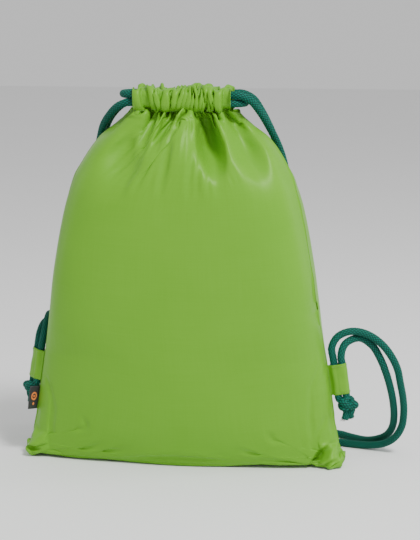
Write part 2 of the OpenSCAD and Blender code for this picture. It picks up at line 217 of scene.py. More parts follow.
def cord_material(name, base, dark, light):
    """Braided polyester: painted shade darkening the gaps between plaits, filament tones whose lightest stop is partly
    a painted highlight, and fine filaments along each plait.
    """
    w = Net(name)
    uv = w.n("ShaderNodeTexCoord").outputs["UV"]
    sep = w.n("ShaderNodeSeparateXYZ")
    w.link(uv, sep.inputs[0])
    U, V = sep.outputs[0], sep.outputs[1]
    a = w.math("ADD", w.math("MULTIPLY", U, 8.0), V)
    b = w.math("SUBTRACT", w.math("MULTIPLY", U, 8.0), V)
    fa, fb = w.math("FRACT", a), w.math("FRACT", b)
    ea = w.math("ABSOLUTE", w.math("SUBTRACT", fa, 0.5))
    eb = w.math("ABSOLUTE", w.math("SUBTRACT", fb, 0.5))
    edge = w.math("MAXIMUM", ea, eb)
    # painted shade: this gap mask marks the grooves between plaits, which are darkened in the base colour
    gap = w.math("MULTIPLY", w.math("SUBTRACT", edge, 0.27, clamp=True), 5.0, clamp=True)
    fil = w.noise(w.scaled(uv, 96, 9), 1.0, 2.0, 0.6)
    fil2 = w.wave(w.scaled(uv, 1, 1), 9.0, "DIAGONAL")
    t = w.math("ADD", w.math("MULTIPLY", fil, 0.6), w.math("MULTIPLY", fil2, 0.4))
    # the light stop is partly a painted highlight, on top of the filaments' own tone
    col = w.ramp(t, [(0.25, dark), (0.5, base), (0.8, light)])
    # painted shade: the grooves take a near-black copy of the dark colour
    col = w.mix(gap, col, (*[c * 0.16 for c in dark[:3]], 1.0))
    w.link(col, w.b.inputs["Base Color"])
    w.b.inputs["Roughness"].default_value = 0.60
    w.b.inputs["Specular IOR Level"].default_value = 0.16
    w.b.inputs["Sheen Weight"].default_value = 0.05
    w.b.inputs["Sheen Roughness"].default_value = 0.40
    w.b.inputs["Sheen Tint"].default_value = (0.1, 0.95, 0.70, 1.0)
    h = w.math("SUBTRACT", w.math("MULTIPLY", fil, 0.35), gap)
    w.link(w.bump(h, 0.55, 0.0004), w.b.inputs["Normal"])
    return w.mat


def thread_material(name, base, dark):
    w = Net(name)
    obj = w.n("ShaderNodeTexCoord").outputs["Object"]
    f = w.noise(obj, 2600.0, 2.0, 0.6)
    w.link(w.ramp(f, [(0.3, dark), (0.7, base)]), w.b.inputs["Base Color"])
    w.b.inputs["Roughness"].default_value = 0.55
    w.b.inputs["Sheen Weight"].default_value = 0.3
    w.link(w.bump(f, 0.5, 0.0002), w.b.inputs["Normal"])
    return w.mat


def ribbon_material(name, base, light, rough=0.5):
    """Woven ribbon with a fine horizontal rib."""
    w = Net(name)
    uv = w.n("ShaderNodeTexCoord").outputs["UV"]
    rib = w.wave(uv, 2 * math.pi / (20.0 * 0.0005), "Y")
    warp = w.wave(uv, 2 * math.pi / (20.0 * 0.0004), "X")
    f = w.math("ADD", w.math("MULTIPLY", rib, 0.6), w.math("MULTIPLY", warp, 0.4))
    n = w.noise(uv, 240.0, 2.0)
    w.link(w.mix(w.math("MULTIPLY", w.math("ADD", f, n), 0.5), base, light), w.b.inputs["Base Color"])
    w.b.inputs["Roughness"].default_value = rough
    w.b.inputs["Sheen Weight"].default_value = 0.25
    w.link(w.bump(f, 0.5, 0.00015), w.b.inputs["Normal"])
    return w.mat


def floor_material():
    w = Net("floor")
    obj = w.n("ShaderNodeTexCoord").outputs["Object"]
    f = w.noise(obj, 3.0, 3.0)
    w.link(w.mix(f, (0.86, 0.86, 0.86, 1), (0.88, 0.88, 0.88, 1)), w.b.inputs["Base Color"])
    w.b.inputs["Roughness"].default_value = 0.9
    w.b.inputs["Specular IOR Level"].default_value = 0.1
    return w.mat


M_CLOTH = cloth_material("cloth", (0.134, 0.372, 0.019, 1), (0.123, 0.352, 0.016, 1), (0.146, 0.392, 0.023, 1))
# the cord's light colour is partly a painted highlight
M_CORD = cord_material("cord", (0.0008, 0.135, 0.090, 1), (0.0005, 0.085, 0.060, 1), (0.0014, 0.215, 0.150, 1))
M_THREAD = thread_material("thread", (0.20, 0.44, 0.06, 1), (0.12, 0.30, 0.03, 1))
M_LABEL = ribbon_material("label", (0.008, 0.008, 0.011, 1), (0.022, 0.021, 0.028, 1))
M_MARK = ribbon_material("label_mark", (0.75, 0.16, 0.01, 1), (0.95, 0.26, 0.03, 1), 0.6)


# ------------------------------------------------------------------ mesh helpers
def make(name, verts, faces, mat, uv=None, smooth=True, scale=0.001):
    """verts in mm, faces as one array of quads or a list, uv per vertex."""
    verts = np.asarray(verts, float) * scale
    verts[:, 2] = np.maximum(verts[:, 2], 0.0)
    me = bpy.data.meshes.new(name)
    if isinstance(faces, np.ndarray):
        k = faces.shape[1]
        me.vertices.add(len(verts))
        me.vertices.foreach_set("co", verts.astype(np.float32).ravel())
        me.loops.add(faces.size)
        me.loops.foreach_set("vertex_index", faces.astype(np.int32).ravel())
        me.polygons.add(len(faces))
        me.polygons.foreach_set("loop_start", np.arange(0, faces.size, k, dtype=np.int32))
        me.update(calc_edges=True)
    else:
        me.from_pydata(verts.tolist(), [], [list(map(int, f)) for f in faces])
    me.validate()
    if uv is not None:
        lay = me.uv_layers.new(name="UVMap")
        idx = np.empty(len(me.loops), np.int32)
        me.loops.foreach_get("vertex_index", idx)
        lay.data.foreach_set("uv", np.asarray(uv, np.float32)[idx].ravel())
    me.polygons.foreach_set("use_smooth", np.full(len(me.polygons), smooth))
    me.materials.append(mat)
    ob = bpy.data.objects.new(name, me)
    bpy.context.scene.collection.objects.link(ob)
    return ob


def join(parts):
    """Several (verts, faces list, uv) as one."""
    V, F, U, o = [], [], [], 0
    for v, f, u in parts:
        V.append(np.asarray(v, float))
        F += [[int(i) + o for i in q] for q in f]
        U.append(np.asarray(u, float))
        o += len(v)
    return np.concatenate(V), F, np.concatenate(U)


def spline(pts, step):
    """A smooth line through the points, evenly spaced. mm."""
    p = np.asarray(pts, float)
    q = np.vstack([2 * p[0] - p[1], p, 2 * p[-1] - p[-2]])
    out = []
    for i in range(1, len(q) - 2):
        p0, p1, p2, p3 = q[i - 1:i + 3]
        t0 = 0.0
        t1 = t0 + math.sqrt(np.linalg.norm(p1 - p0))
        t2 = t1 + math.sqrt(np.linalg.norm(p2 - p1))
        t3 = t2 + math.sqrt(np.linalg.norm(p3 - p2))
        t = np.linspace(t1, t2, 24, endpoint=False)[:, None]
        a1 = (t1 - t) / (t1 - t0) * p0 + (t - t0) / (t1 - t0) * p1
        a2 = (t2 - t) / (t2 - t1) * p1 + (t - t1) / (t2 - t1) * p2
        a3 = (t3 - t) / (t3 - t2) * p2 + (t - t2) / (t3 - t2) * p3
        b1 = (t2 - t) / (t2 - t0) * a1 + (t - t0) / (t2 - t0) * a2
        b2 = (t3 - t) / (t3 - t1) * a2 + (t - t1) / (t3 - t1) * a3
        out.append((t2 - t) / (t2 - t1) * b1 + (t - t1) / (t2 - t1) * b2)
    out.append(p[-1:])
    c = np.concatenate(out)
    for _ in range(2):
        c[1:-1] = 0.25 * c[:-2] + 0.5 * c[1:-1] + 0.25 * c[2:]
    s = np.concatenate([[0], np.cumsum(np.linalg.norm(np.diff(c, axis=0), axis=1))])
    n = max(int(round(s[-1] / step)), 4)
    t = np.linspace(0, s[-1], n + 1)
    return np.stack([np.interp(t, s, c[:, k]) for k in range(3)], 1)


def frames(c, up=(0.1, 0.3, 1.0)):
    t = np.empty_like(c)
    t[1:-1] = c[2:] - c[:-2]
    t[0], t[-1] = c[1] - c[0], c[-1] - c[-2]
    t /= np.linalg.norm(t, axis=1, keepdims=True)
    u = np.empty_like(c)
    a = np.array(up, float)
    for i in range(len(c)):
        a = a - (a @ t[i]) * t[i]
        a /= np.linalg.norm(a)
        u[i] = a
    return t, u, np.cross(t, u)


PLAIT = 3.7        # length of one plait along the cord, mm


def braid_height(th, s):
    """Relief of a sixteen-strand braid: two families of strands, each over one and under one."""
    a = 8.0 * th / (2 * math.pi) + s / PLAIT
    b = 8.0 * th / (2 * math.pi) - s / PLAIT
    fa, fb = a - np.floor(a), b - np.floor(b)
    top = (np.floor(a) + np.floor(b)) % 2 < 0.5
    ra = np.sin(np.pi * fa) ** 0.6 * (0.35 + 0.65 * np.sin(np.pi * fb) ** 0.5)
    rb = np.sin(np.pi * fb) ** 0.6 * (0.35 + 0.65 * np.sin(np.pi * fa) ** 0.5)
    return np.where(top, ra, rb * 0.94)


def tube_data(c, r, sides, s0=0.0, relief=0.42, r_of=None, up=(0.1, 0.3, 1.0), wob=0.0):
    t, u, v = frames(c, up)
    s = s0 + np.concatenate([[0], np.cumsum(np.linalg.norm(np.diff(c, axis=0), axis=1))])
    th = np.linspace(0, 2 * math.pi, sides + 1)
    S, TH = np.meshgrid(s, th, indexing="ij")
    R = np.full_like(S, r) if r_of is None else np.repeat(r_of(s)[:, None], sides + 1, 1)
    R = R + relief * (braid_height(TH, S) - 0.62)
    if wob:
        R = R * (1 + wob * np.sin(S / 17.0 + 2 * TH) + wob * 0.6 * np.sin(S / 7.3 - TH))
    P = c[:, None] + R[..., None] * (np.cos(TH)[..., None] * u[:, None] + np.sin(TH)[..., None] * v[:, None])
    uv = np.stack([TH / (2 * math.pi), S / PLAIT], -1)
    return P, uv


def tube_mesh(P, uv, caps=True):
    """A grid of rings as a closed mesh: the first and last column are one seam."""
    n, m = P.shape[:2]
    idx = np.arange(n * m).reshape(n, m)
    f = np.stack([idx[:-1, :-1], idx[:-1, 1:], idx[1:, 1:], idx[1:, :-1]], -1).reshape(-1, 4)
    return P.reshape(-1, 3), f, uv.reshape(-1, 2)


def welded_tube(name, c, mat, r=CORD_R, sides=24, s0=0.0, relief=0.60, r_of=None, up=(0.1, 0.3, 1.0), wob=0.0):
    P, uv = tube_data(c, r, sides, s0, relief, r_of, up, wob)
    n, m = P.shape[:2]
    V = P[:, :-1].reshape(-1, 3)
    k = m - 1
    idx = np.arange(n * k).reshape(n, k)
    nx = np.roll(idx, -1, axis=1)
    f = np.stack([idx[:-1], nx[:-1], nx[1:], idx[1:]], -1).reshape(-1, 4)
    # loop UVs keep u running 0..1 over the seam
    u0 = uv[:-1, :-1]; u1 = uv[:-1, 1:]; u2 = uv[1:, 1:]; u3 = uv[1:, :-1]
    luv = np.stack([u0, u1, u2, u3], 2).reshape(-1, 4, 2)
    c0, c1 = P[0, :-1].mean(0), P[-1, :-1].mean(0)
    V = np.vstack([V, c0, c1])
    a, b = len(V) - 2, len(V) - 1
    caps = [[a, int(nx[0, j]), int(idx[0, j])] for j in range(k)] + [[b, int(idx[-1, j]), int(nx[-1, j])] for j in range(k)]
    me = bpy.data.meshes.new(name)
    nq, nc = len(f), len(caps)
    me.vertices.add(len(V))
    V[:, 2] = np.maximum(V[:, 2], 0.03)          # the braid presses flat where it lies on the floor
    me.vertices.foreach_set("co", (V * 0.001).astype(np.float32).ravel())
    loops = np.concatenate([f.ravel(), np.array(caps).ravel()]).astype(np.int32)
    me.loops.add(len(loops))
    me.loops.foreach_set("vertex_index", loops)
    me.polygons.add(nq + nc)
    me.polygons.foreach_set("loop_start", np.concatenate([np.arange(0, nq * 4, 4), nq * 4 + np.arange(0, nc * 3, 3)]).astype(np.int32))
    me.update(calc_edges=True)
    lay = me.uv_layers.new(name="UVMap")
    cap_uv = np.tile(np.array([[0.05, 0.05]]), (nc * 3, 1))
    lay.data.foreach_set("uv", np.concatenate([luv.reshape(-1, 2), cap_uv]).astype(np.float32).ravel())
    me.polygons.foreach_set("use_smooth", np.concatenate([np.full(nq, True), np.full(nc, False)]))
    me.materials.append(mat)
    ob = bpy.data.objects.new(name, me)
    bpy.context.scene.collection.objects.link(ob)
    return ob


def polylen(c):
    return float(np.linalg.norm(np.diff(c, axis=0), axis=1).sum())


# ------------------------------------------------------------------ cords
STRAPS = {
    # name: route, side, tab height, fold, lane, lip body, tab body, where it is split, where its bending end starts
    "right_strap_front": (RIGHT_FRONT, 1, RIGHT_TAB_Z, 0.0, LANE_1, "front_lip", "right_tab", 292.0, -8),
    "right_strap_back": (RIGHT_BACK, 1, RIGHT_TAB_Z, 0.0, LANE_2, "back_lip", "right_tab", 292.0, -6),
    "left_strap_front": (LEFT_FRONT, -1, LEFT_TAB_Z, LEFT_FOLD, LANE_2, "front_lip", "left_tab", 290.0, -7),
    "left_strap_back": (LEFT_BACK, -1, LEFT_TAB_Z, LEFT_FOLD, LANE_1, "back_lip", "left_tab", 290.0, -7),
}
strap_lines = []
cords = {}
for name, (route, side, tz, fold, lane, lip, tab_body, zs, bend) in STRAPS.items():
    tail = in_tab(side, tz, fold, [[lane, 0, LANE_TOP + 5], [lane, 0, LANE_TOP + 0.3]])
    line = spline(np.vstack([route, tail]), 0.85)
    strap_lines.append(line)
    cut = int(np.argmax(line[:, 2] < zs))
    last = int(np.argmin(np.linalg.norm(line - np.array(route[bend], float), axis=1)))
    up_line, low_line, end_line = line[:cut + 1], line[cut:last + 1], line[last:]
    s_cut, s_last = polylen(up_line), polylen(line[:last + 1])
    t, u, v = frames(line)
    top = welded_tube(name + "_top", up_line, M_CORD, wob=0.012)
    low = welded_tube(name + "_run", low_line, M_CORD, s0=s_cut, up=tuple(u[cut]), wob=0.012)
    end = welded_tube(name + "_end", end_line, M_CORD, s0=s_last, up=tuple(u[last]), wob=0.012)
    for ob in (top, low, end):
        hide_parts(name)
    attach(low, "bag")
    y = line[0, 1]
    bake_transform(top)
    a = end_line[0]
    b = np.array([end_line[-1][0], end_line[-1][1], a[2]])
    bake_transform(end)
    cords[name] = (top, low, end, up_line, low_line, end_line)


def turn_half(name, side_sign, y_sign, z):
    """One quarter of the loop of cord outside a casing's end."""
    a = np.linspace(0, math.pi / 2, 30)
    c = np.stack([side_sign * (END_X + 0.3 + HINGE_Y * np.sin(a)), y_sign * HINGE_Y * np.cos(a), np.full(30, z)], 1)
    c = np.vstack([c[0] - np.array([side_sign * 0.2, 0, 0]), c])
    ob = welded_tube(name, spline(c, 0.85), M_CORD, up=(0, 0.0, 1))
    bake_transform(ob)
    return ob


turns = {}
for who, end, z in (("right", -1, RIGHT_Z), ("left", 1, LEFT_Z)):
    f = turn_half(who + "_turn_front", end, -1, z)
    b = turn_half(who + "_turn_back", end, 1, z)
    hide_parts(who + "_cord_turn")
    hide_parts(who + "_cord_turn")
    for which, sg in (("front", -1), ("back", 1)):
        c = np.stack([np.linspace(-END_X - 0.1, END_X + 0.1, 100), np.full(100, sg * HINGE_Y), np.full(100, z)], 1)
        ob = welded_tube(who + "_tunnel_" + which, c, M_CORD, sides=16)
        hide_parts(who + "_cord_tunnel_" + which)
        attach(ob, which + "_lip")


def knot(name, side, tz, fold, knot_body):
    """Both ends of the cord tied together in one overhand knot under the tab, with two short frayed tails."""
    cx, cz = 13.6, -26.4
    t = np.linspace(0.25, 2 * math.pi - 0.05, 140)
    kx = (np.sin(t) + 2 * np.sin(2 * t)) * 2.55
    kz = -(np.cos(t) - 2 * np.cos(2 * t)) * 1.50
    ky = -np.sin(3 * t) * 3.3
    loop = np.stack([cx + kx, ky, cz + kz], 1)
    body = spline(loop, 0.8)
    parts = []
    obs = []

    def piece(line, r=CORD_R, s0=0.0, r_of=None):
        P, uv = tube_data(line, r, 24, s0, 0.5, r_of)
        P = in_tab(side, tz, fold, P)
        V, f, u = tube_mesh(P, uv)
        c0, c1 = P[0, :-1].mean(0), P[-1, :-1].mean(0)
        n, m = P.shape[:2]
        k = len(V)
        V = np.vstack([V, c0, c1])
        u = np.vstack([u, [[0.05, 0.05], [0.05, 0.05]]])
        idx = np.arange(n * m).reshape(n, m)
        F = f.tolist() + [[k, int(idx[0, j + 1]), int(idx[0, j])] for j in range(m - 1)] + [[k + 1, int(idx[-1, j]), int(idx[-1, j + 1])] for j in range(m - 1)]
        parts.append((V, F, u))

    piece(body)
    # the strands from the tab run down into the knot
    for x in (LANE_1, LANE_2):
        piece(spline([[x, 0, -TAB_H / 2 - 1.5], [x, 0, -TAB_H / 2 - 4], [x * 0.7 + cx * 0.3, 0.5, -TAB_H / 2 - 8], [x * 0.45 + cx * 0.55, 1.0, -TAB_H / 2 - 12]], 0.8))
    # a second turn wraps over the first
    a = np.linspace(-0.4, math.pi + 0.6, 40)
    piece(spline(np.stack([cx - 1.0 + 5.6 * np.cos(a) * 0.9, -4.1 * np.sin(a) - 0.2, cz + 0.4 - 3.6 * np.cos(a)], 1), 0.8))
    # tails, opening a little where they are cut
    for dx, ex, ey, ez in ((-2.6, -5.2, -1.6, -41.6), (2.4, 0.8, 1.8, -41.0)):
        piece(spline([[cx + dx + 1.5, 0.6, cz - 3], [cx + dx, -0.2, cz - 8], [cx + ex * 0.7, ey * 0.6, cz - 11.5], [cx + ex, ey, ez]], 0.8),
              r_of=lambda s: CORD_R * (0.92 + 0.16 * np.clip((s - 8) / 8, 0, 1) ** 2))
    V, F, U = join(parts)
    ob = make(name, V, F, M_CORD, U)
    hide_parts(name)
    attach(ob, knot_body)
    # loose filaments at the cut ends
    rng = np.random.RandomState(5 if side > 0 else 9)
    parts = []
    for ex, ey, ez in ((cx - 5.2, -1.6, -41.6), (cx + 0.8, 1.8, -41.0)):
        for _ in range(60):
            r0 = 3.2 * math.sqrt(rng.rand())
            an = rng.uniform(0, 2 * math.pi)
            p0 = np.array([ex + r0 * math.cos(an), ey + r0 * math.sin(an), ez + 1.2])
            d = np.array([0.45 * math.cos(an) + rng.uniform(-.3, .3) - 0.3, 0.45 * math.sin(an) + rng.uniform(-.3, .3), -1.0])
            p1 = p0 + d * rng.uniform(1.6, 3.0)
            w_ = 0.16
            q = []
            for p, ww in ((p0, w_), (p1, w_ * 0.5)):
                for k in range(3):
                    q.append(p + ww * np.array([math.cos(2.1 * k), math.sin(2.1 * k), 0]))
            parts.append((in_tab(side, tz, fold, np.array(q)), [[0, 1, 4, 3], [1, 2, 5, 4], [2, 0, 3, 5], [2, 1, 0], [3, 4, 5]], np.zeros((6, 2))))
    V, F, U = join(parts)
    fr = make(name + "_fray", V, F, M_CORD, U)
    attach(fr, knot_body)
    # the two strands inside the tab stretch between the tab and the knot
    parts = []
    for x in (LANE_1, LANE_2):
        piece(np.stack([np.full(44, x), np.zeros(44), np.linspace(LANE_TOP + 0.2, -TAB_H / 2 - 2.2, 44)], 1))
    V, F, U = join(parts)
    st = make(name.replace("_knot", "_cord_in_tab"), V, F, M_CORD, U)
    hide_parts(name.replace("_knot", "_cord_in_tab"))
    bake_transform(st)
    return ob, fr, st


knots = {
    "right": knot("right_knot", 1, RIGHT_TAB_Z, 0.0, "right_knot"),
    "left": knot("left_knot", -1, LEFT_TAB_Z, LEFT_FOLD, "left_knot"),
}
for name, (top, low, end, up_line, low_line, end_line) in cords.items():
    who = name.split("_")[0]


# ------------------------------------------------------------------ the cloth
FLAT_W, FLAT_H, CASE_H = 334.0, 398.0, 57.0
# hollows where the gathers end: side, start (x, z), end (x, z), widest half width, depth, where across it is deepest
SCOOPS = [
    (0, (18, 364), (45, 289), 16.5, 34.0, -0.40),
    (0, (42, 362), (90, 288), 17.0, 29.0, -0.30),
    (0, (-46, 342), (-64, 282), 25.0, 14.0, 0.0),
    (0, (-62, 342), (-112, 320), 9.0, 7.0, 0.0),
    (0, (-2, 362), (-30, 322), 7.0, 12.0, 0.3),
    (0, (-22, 362), (-43, 306), 9.5, 15.0, -0.3),
    (0, (62, 348), (106, 316), 8.0, 7.0, 0.0),
    (1, (6, 360), (20, 298), 15.0, 20.0, 0.2),
    (1, (32, 358), (74, 296), 17.0, 17.0, -0.2),
    (1, (-22, 360), (-48, 288), 18.0, 20.0, 0.2),
    (1, (-52, 344), (-92, 304), 13.0, 11.0, 0.0),
    (1, (60, 344), (100, 312), 10.0, 9.0, 0.0)]
# rolls that stand out between the hollows
ROLLS = [
    (0, (-13, 360), (-34, 330), 9.0, 7.0),
    (0, (4, 360), (2, 300), 12.0, 5.0),
    (1, (-6, 360), (-14, 315), 9.0, 5.0),
    (1, (20, 360), (46, 312), 7.0, 4.0)]
# shallow creases and dents low down: side, start, end, width, depth
DENTS = [
        (0, (-128, 250), (-100, 262), 9.0, 2.0), (0, (132, 200), (122, 262), 8.0, 2.5), (0, (137, 120), (131, 185), 7.0, 2.0),
    (0, (80, 4), (40, 14), 10.0, 1.5), (0, (-40, 4), (-80, 12), 10.0, 1.2),
    (1, (-20, 210), (60, 170), 16.0, 2.0),
    (1, (-110, 120), (-60, 170), 14.0, 2.0), (1, (40, 60), (100, 100), 14.0, 2.0)]


# small folds in the two bottom corners: side, start, end, widest half width, depth, where across it is deepest
CORNERS = [
    (0, (130, 2), (157, 29), 6.5, 8.0, 0.3), (0, (143, 3), (162, 13), 3.0, 3.5, 0.0), (0, (149, 62), (153, 26), 3.0, 1.6, 0.0),
    (0, (-165, 11), (-145, 8), 3.6, 5.0, 0.0), (0, (-150, 58), (-154, 26), 3.0, 1.2, 0.0),
    (1, (-134, 3), (-158, 28), 6.5, 7.0, 0.2), (1, (134, 3), (158, 28), 6.5, 7.0, -0.2)]


def smooth01(t):
    t = np.clip(t, 0, 1)
    return t * t * (3 - 2 * t)


def noise1(x, seed, n=6, lo=1.0, hi=4.0):
    rng = np.random.RandomState(seed)
    out = np.zeros_like(x)
    for _ in range(n):
        out += rng.uniform(0.4, 1) * np.sin(rng.uniform(lo, hi) * x + rng.uniform(0, 6.283))
    return out / n


def gather_x(u, side):
    """Where a flat distance lands across the gathered mouth: looser at the ends."""
    c = np.linspace(0, 1, 1201)
    dens = np.full_like(c, 0.19)
    if side == 0:
        dens += 0.55 * np.exp(-(c / 0.085) ** 2) + 0.50 * np.exp(-((c - 1.0) / 0.050) ** 2)
    else:
        dens += 0.35 * np.exp(-(c / 0.06) ** 2) + 0.40 * np.exp(-((c - 1.0) / 0.07) ** 2)
    dens *= 1 + 0.35 * noise1(c * 40, 11 + side)
    X = np.concatenate([[0], np.cumsum(0.5 * (dens[1:] + dens[:-1]))])
    X = X / X[-1] * 94.0 - 47.0
    return np.interp(u, c * FLAT_W, X), np.interp(u, c * FLAT_W, dens / dens.mean() * 94 / FLAT_W)


def pleat_row(NU, side, seed):
    """The stitched line: an accordion of uneven pleats, true to its flat length."""
    u = np.linspace(0, FLAT_W, 1361)
    x, rate = gather_x(u, side)
    lam = 22.0 * (1 + 0.45 * noise1(u / FLAT_W * 30, seed + 3)) * (1 + 0.5 * (rate > 0.5))
    ph = np.cumsum(1 / lam) * (u[1] - u[0])
    ph *= round(ph[-1]) / ph[-1]
    tri = 2 * np.abs((ph + 0.25) % 1 - 0.5) * 2 - 1
    slope = np.sqrt(np.maximum(1 - np.minimum(rate, 0.98) ** 2, 0.02))
    y = slope * lam / 4 * tri
    k = 9
    ker = np.hanning(k * 2 + 1)
    ker /= ker.sum()
    y = np.convolve(np.pad(y, k, mode="edge"), ker, "valid")
    uu = np.linspace(0, FLAT_W, NU)
    return [np.interp(uu, u, q) for q in (x, y, 2.0 * noise1(u / FLAT_W * 14, seed + 5), ph, slope)]


def prof(z):
    z = np.clip(z, 0, 356.7)
    return [np.interp(z, PROFILE[:, 0], PROFILE[:, c]) for c in (1, 2, 3)]


def along(x, z, a, b):
    L = math.hypot(b[0] - a[0], b[1] - a[1])
    ux, uz = (b[0] - a[0]) / L, (b[1] - a[1]) / L
    return ((x - a[0]) * ux + (z - a[1]) * uz) / L, (x - a[0]) * uz - (z - a[1]) * ux


def relief(x, z, side):
    """How far the cloth is pressed in (above 0) or stands out (below 0) from the filled shape."""
    d = np.zeros_like(x)
    for s, a, b, w, dep, skew in SCOOPS:
        if s != side:
            continue
        t, q = along(x, z, a, b)
        tt = np.clip(t, 0, 1)
        ww = w * (0.30 + 0.70 * smooth01(tt / 0.6)) * np.maximum(1 - tt ** 3, 0.0) ** 0.62
        ww = np.maximum(ww, 0.05)
        r = np.clip(-q / ww, -1.3, 1.3)
        c = np.maximum(1 - r * r, 0) * (1 + skew * r)
        d = np.maximum(d, dep * c * smooth01((t + 0.10) / 0.30) * smooth01((1.0 - t) / 0.55))
    for s, a, b, w, dep in DENTS:
        if s != side:
            continue
        t, q = along(x, z, a, b)
        d = d + dep * np.exp(-(q / w) ** 2) * smooth01((t + 0.4) / 0.5) * smooth01((1.4 - t) / 0.5)
    for s, a, b, w, dep in ROLLS:
        if s != side:
            continue
        t, q = along(x, z, a, b)
        d = d - dep * np.maximum(1 - (q / w) ** 2, 0) * smooth01((t + 0.1) / 0.3) * smooth01((1.08 - t) / 0.25)
    return d


UNDER = 20.5       # how far the cloth runs inward under the bag to its bottom seam


def rise(x, z):
    """The bottom seam lifts off the floor towards its two corners."""
    return 7.4 * smooth01((np.abs(x) - 124) / 40) ** 1.3 * np.clip(1 - z / 26, 0, 1)


def seam_y(z):
    """The right side seam lies a little forward of the bag's edge."""
    return -17.0 * smooth01((z - 102) / 88) * smooth01((334 - z) / 62)


def tailored(NU, NVp):
    """The shape the filled bag is cut to: the profile with its hollows, spaced evenly over the cloth."""
    X = np.zeros((2, NVp, NU, 3))
    zz = np.linspace(0, 356.7, 1500)
    b = np.interp(zz, PROFILE[:, 0], PROFILE[:, 2])
    up = np.concatenate([[0], np.cumsum(np.hypot(np.diff(zz), np.diff(b)))])
    for j in range(NVp):
        s = (UNDER + up[-1]) * j / (NVp - 1)
        z = float(np.interp(s - UNDER, up, zz))
        a, b, n = [float(q) for q in prof(np.array(z))]
        if s < UNDER:
            b = max(b * s / UNDER, 0.3)
        a = max(a, 164.3 - 0.25 * z) if z < 12 else (a if z > 30 else max(a, 161.3 - 0.30 * (z - 12)))
        ys = float(seam_y(z))
        xs = a * (1 - (abs(ys) / max(b, 18.0)) ** n) ** (1 / n)
        q = np.linspace(0, np.pi, 1081)
        for side in (0, 1):
            sg = -1.0 if side == 0 else 1.0
            px = -a * np.sign(np.cos(q)) * np.abs(np.cos(q)) ** (2 / n)
            py = b * np.clip(np.sin(q), 0, 1) ** (2 / n)
            if ys < -0.3:
                if side == 0:
                    keep = (px < 0) | (py > -ys)
                    px, py = np.append(px[keep], xs), np.append(py[keep], -ys)
                else:
                    t = np.linspace(0, 1, 24)[1:]
                    yy = ys * t
                    px = np.append(px, a * (1 - (np.abs(yy) / b) ** n) ** (1 / n))
                    py = np.append(py, yy)
            d = relief(px, np.full_like(px, z), side)
            py = np.where(py > 0, py * np.maximum(b - d, min(b, 3.0)) / b, py)
            l = np.concatenate([[0], np.cumsum(np.hypot(np.diff(px), np.diff(py)))])
            c = np.linspace(0, 1, NU)
            g = float(smooth01((z - 280) / 72))
            t = l[-1] * ((1 - g) * c + g * (gather_x(c * FLAT_W, side)[0] + 47) / 94)
            X[side, j, :, 0] = np.interp(t, l, px)
            X[side, j, :, 1] = sg * np.interp(t, l, py)
            X[side, j, :, 2] = z + 0.7 * (s < UNDER + 3)
    X[..., 2] += rise(X[..., 0], X[..., 2])
    X[:, 0, :, 1] = 0
    return X


def edge(A, B, L, k):
    d = B - A
    l = np.sqrt(np.einsum("...i,...i->...", d, d)) + 1e-9
    c = (k * 0.5 * (l - L) / l)[..., None] * d
    A += c
    B -= c


def edge_min(A, B, L, k):
    """Only pushes apart: the cloth's stiffness against folding."""
    d = B - A
    l = np.sqrt(np.einsum("...i,...i->...", d, d)) + 1e-9
    c = (k * 0.5 * np.minimum(l - L, 0) / l)[..., None] * d
    A += c
    B -= c


def normals(X):
    du = np.empty_like(X)
    dv = np.empty_like(X)
    du[:, :, 1:-1] = X[:, :, 2:] - X[:, :, :-2]
    du[:, :, 0] = X[:, :, 1] - X[:, :, 0]
    du[:, :, -1] = X[:, :, -1] - X[:, :, -2]
    dv[:, 1:-1] = X[:, 2:] - X[:, :-2]
    dv[:, 0] = X[:, 1] - X[:, 0]
    dv[:, -1] = X[:, -1] - X[:, -2]
    n = np.cross(du, dv)
    n /= np.linalg.norm(n, axis=-1, keepdims=True) + 1e-9
    n[1] *= -1
    return n


def finer_grid(X):
    """Twice as many points each way, on a smooth curve through the old ones."""
    P, NV, NU, _ = X.shape
    Y = np.zeros((P, NV, 2 * NU - 1, 3))
    Y[:, :, ::2] = X
    Xp = np.concatenate([2 * X[:, :, :1] - X[:, :, 1:2], X, 2 * X[:, :, -1:] - X[:, :, -2:-1]], 2)
    Y[:, :, 1::2] = (9 * (Xp[:, :, 1:-2] + Xp[:, :, 2:-1]) - Xp[:, :, :-3] - Xp[:, :, 3:]) / 16
    Z = np.zeros((P, 2 * NV - 1, 2 * NU - 1, 3))
    Z[:, ::2] = Y
    Yp = np.concatenate([2 * Y[:, :1] - Y[:, 1:2], Y, 2 * Y[:, -1:] - Y[:, -2:-1]], 1)
    Z[:, 1::2] = (9 * (Yp[:, 1:-2] + Yp[:, 2:-1]) - Yp[:, :-3] - Yp[:, 3:]) / 16
    return Z


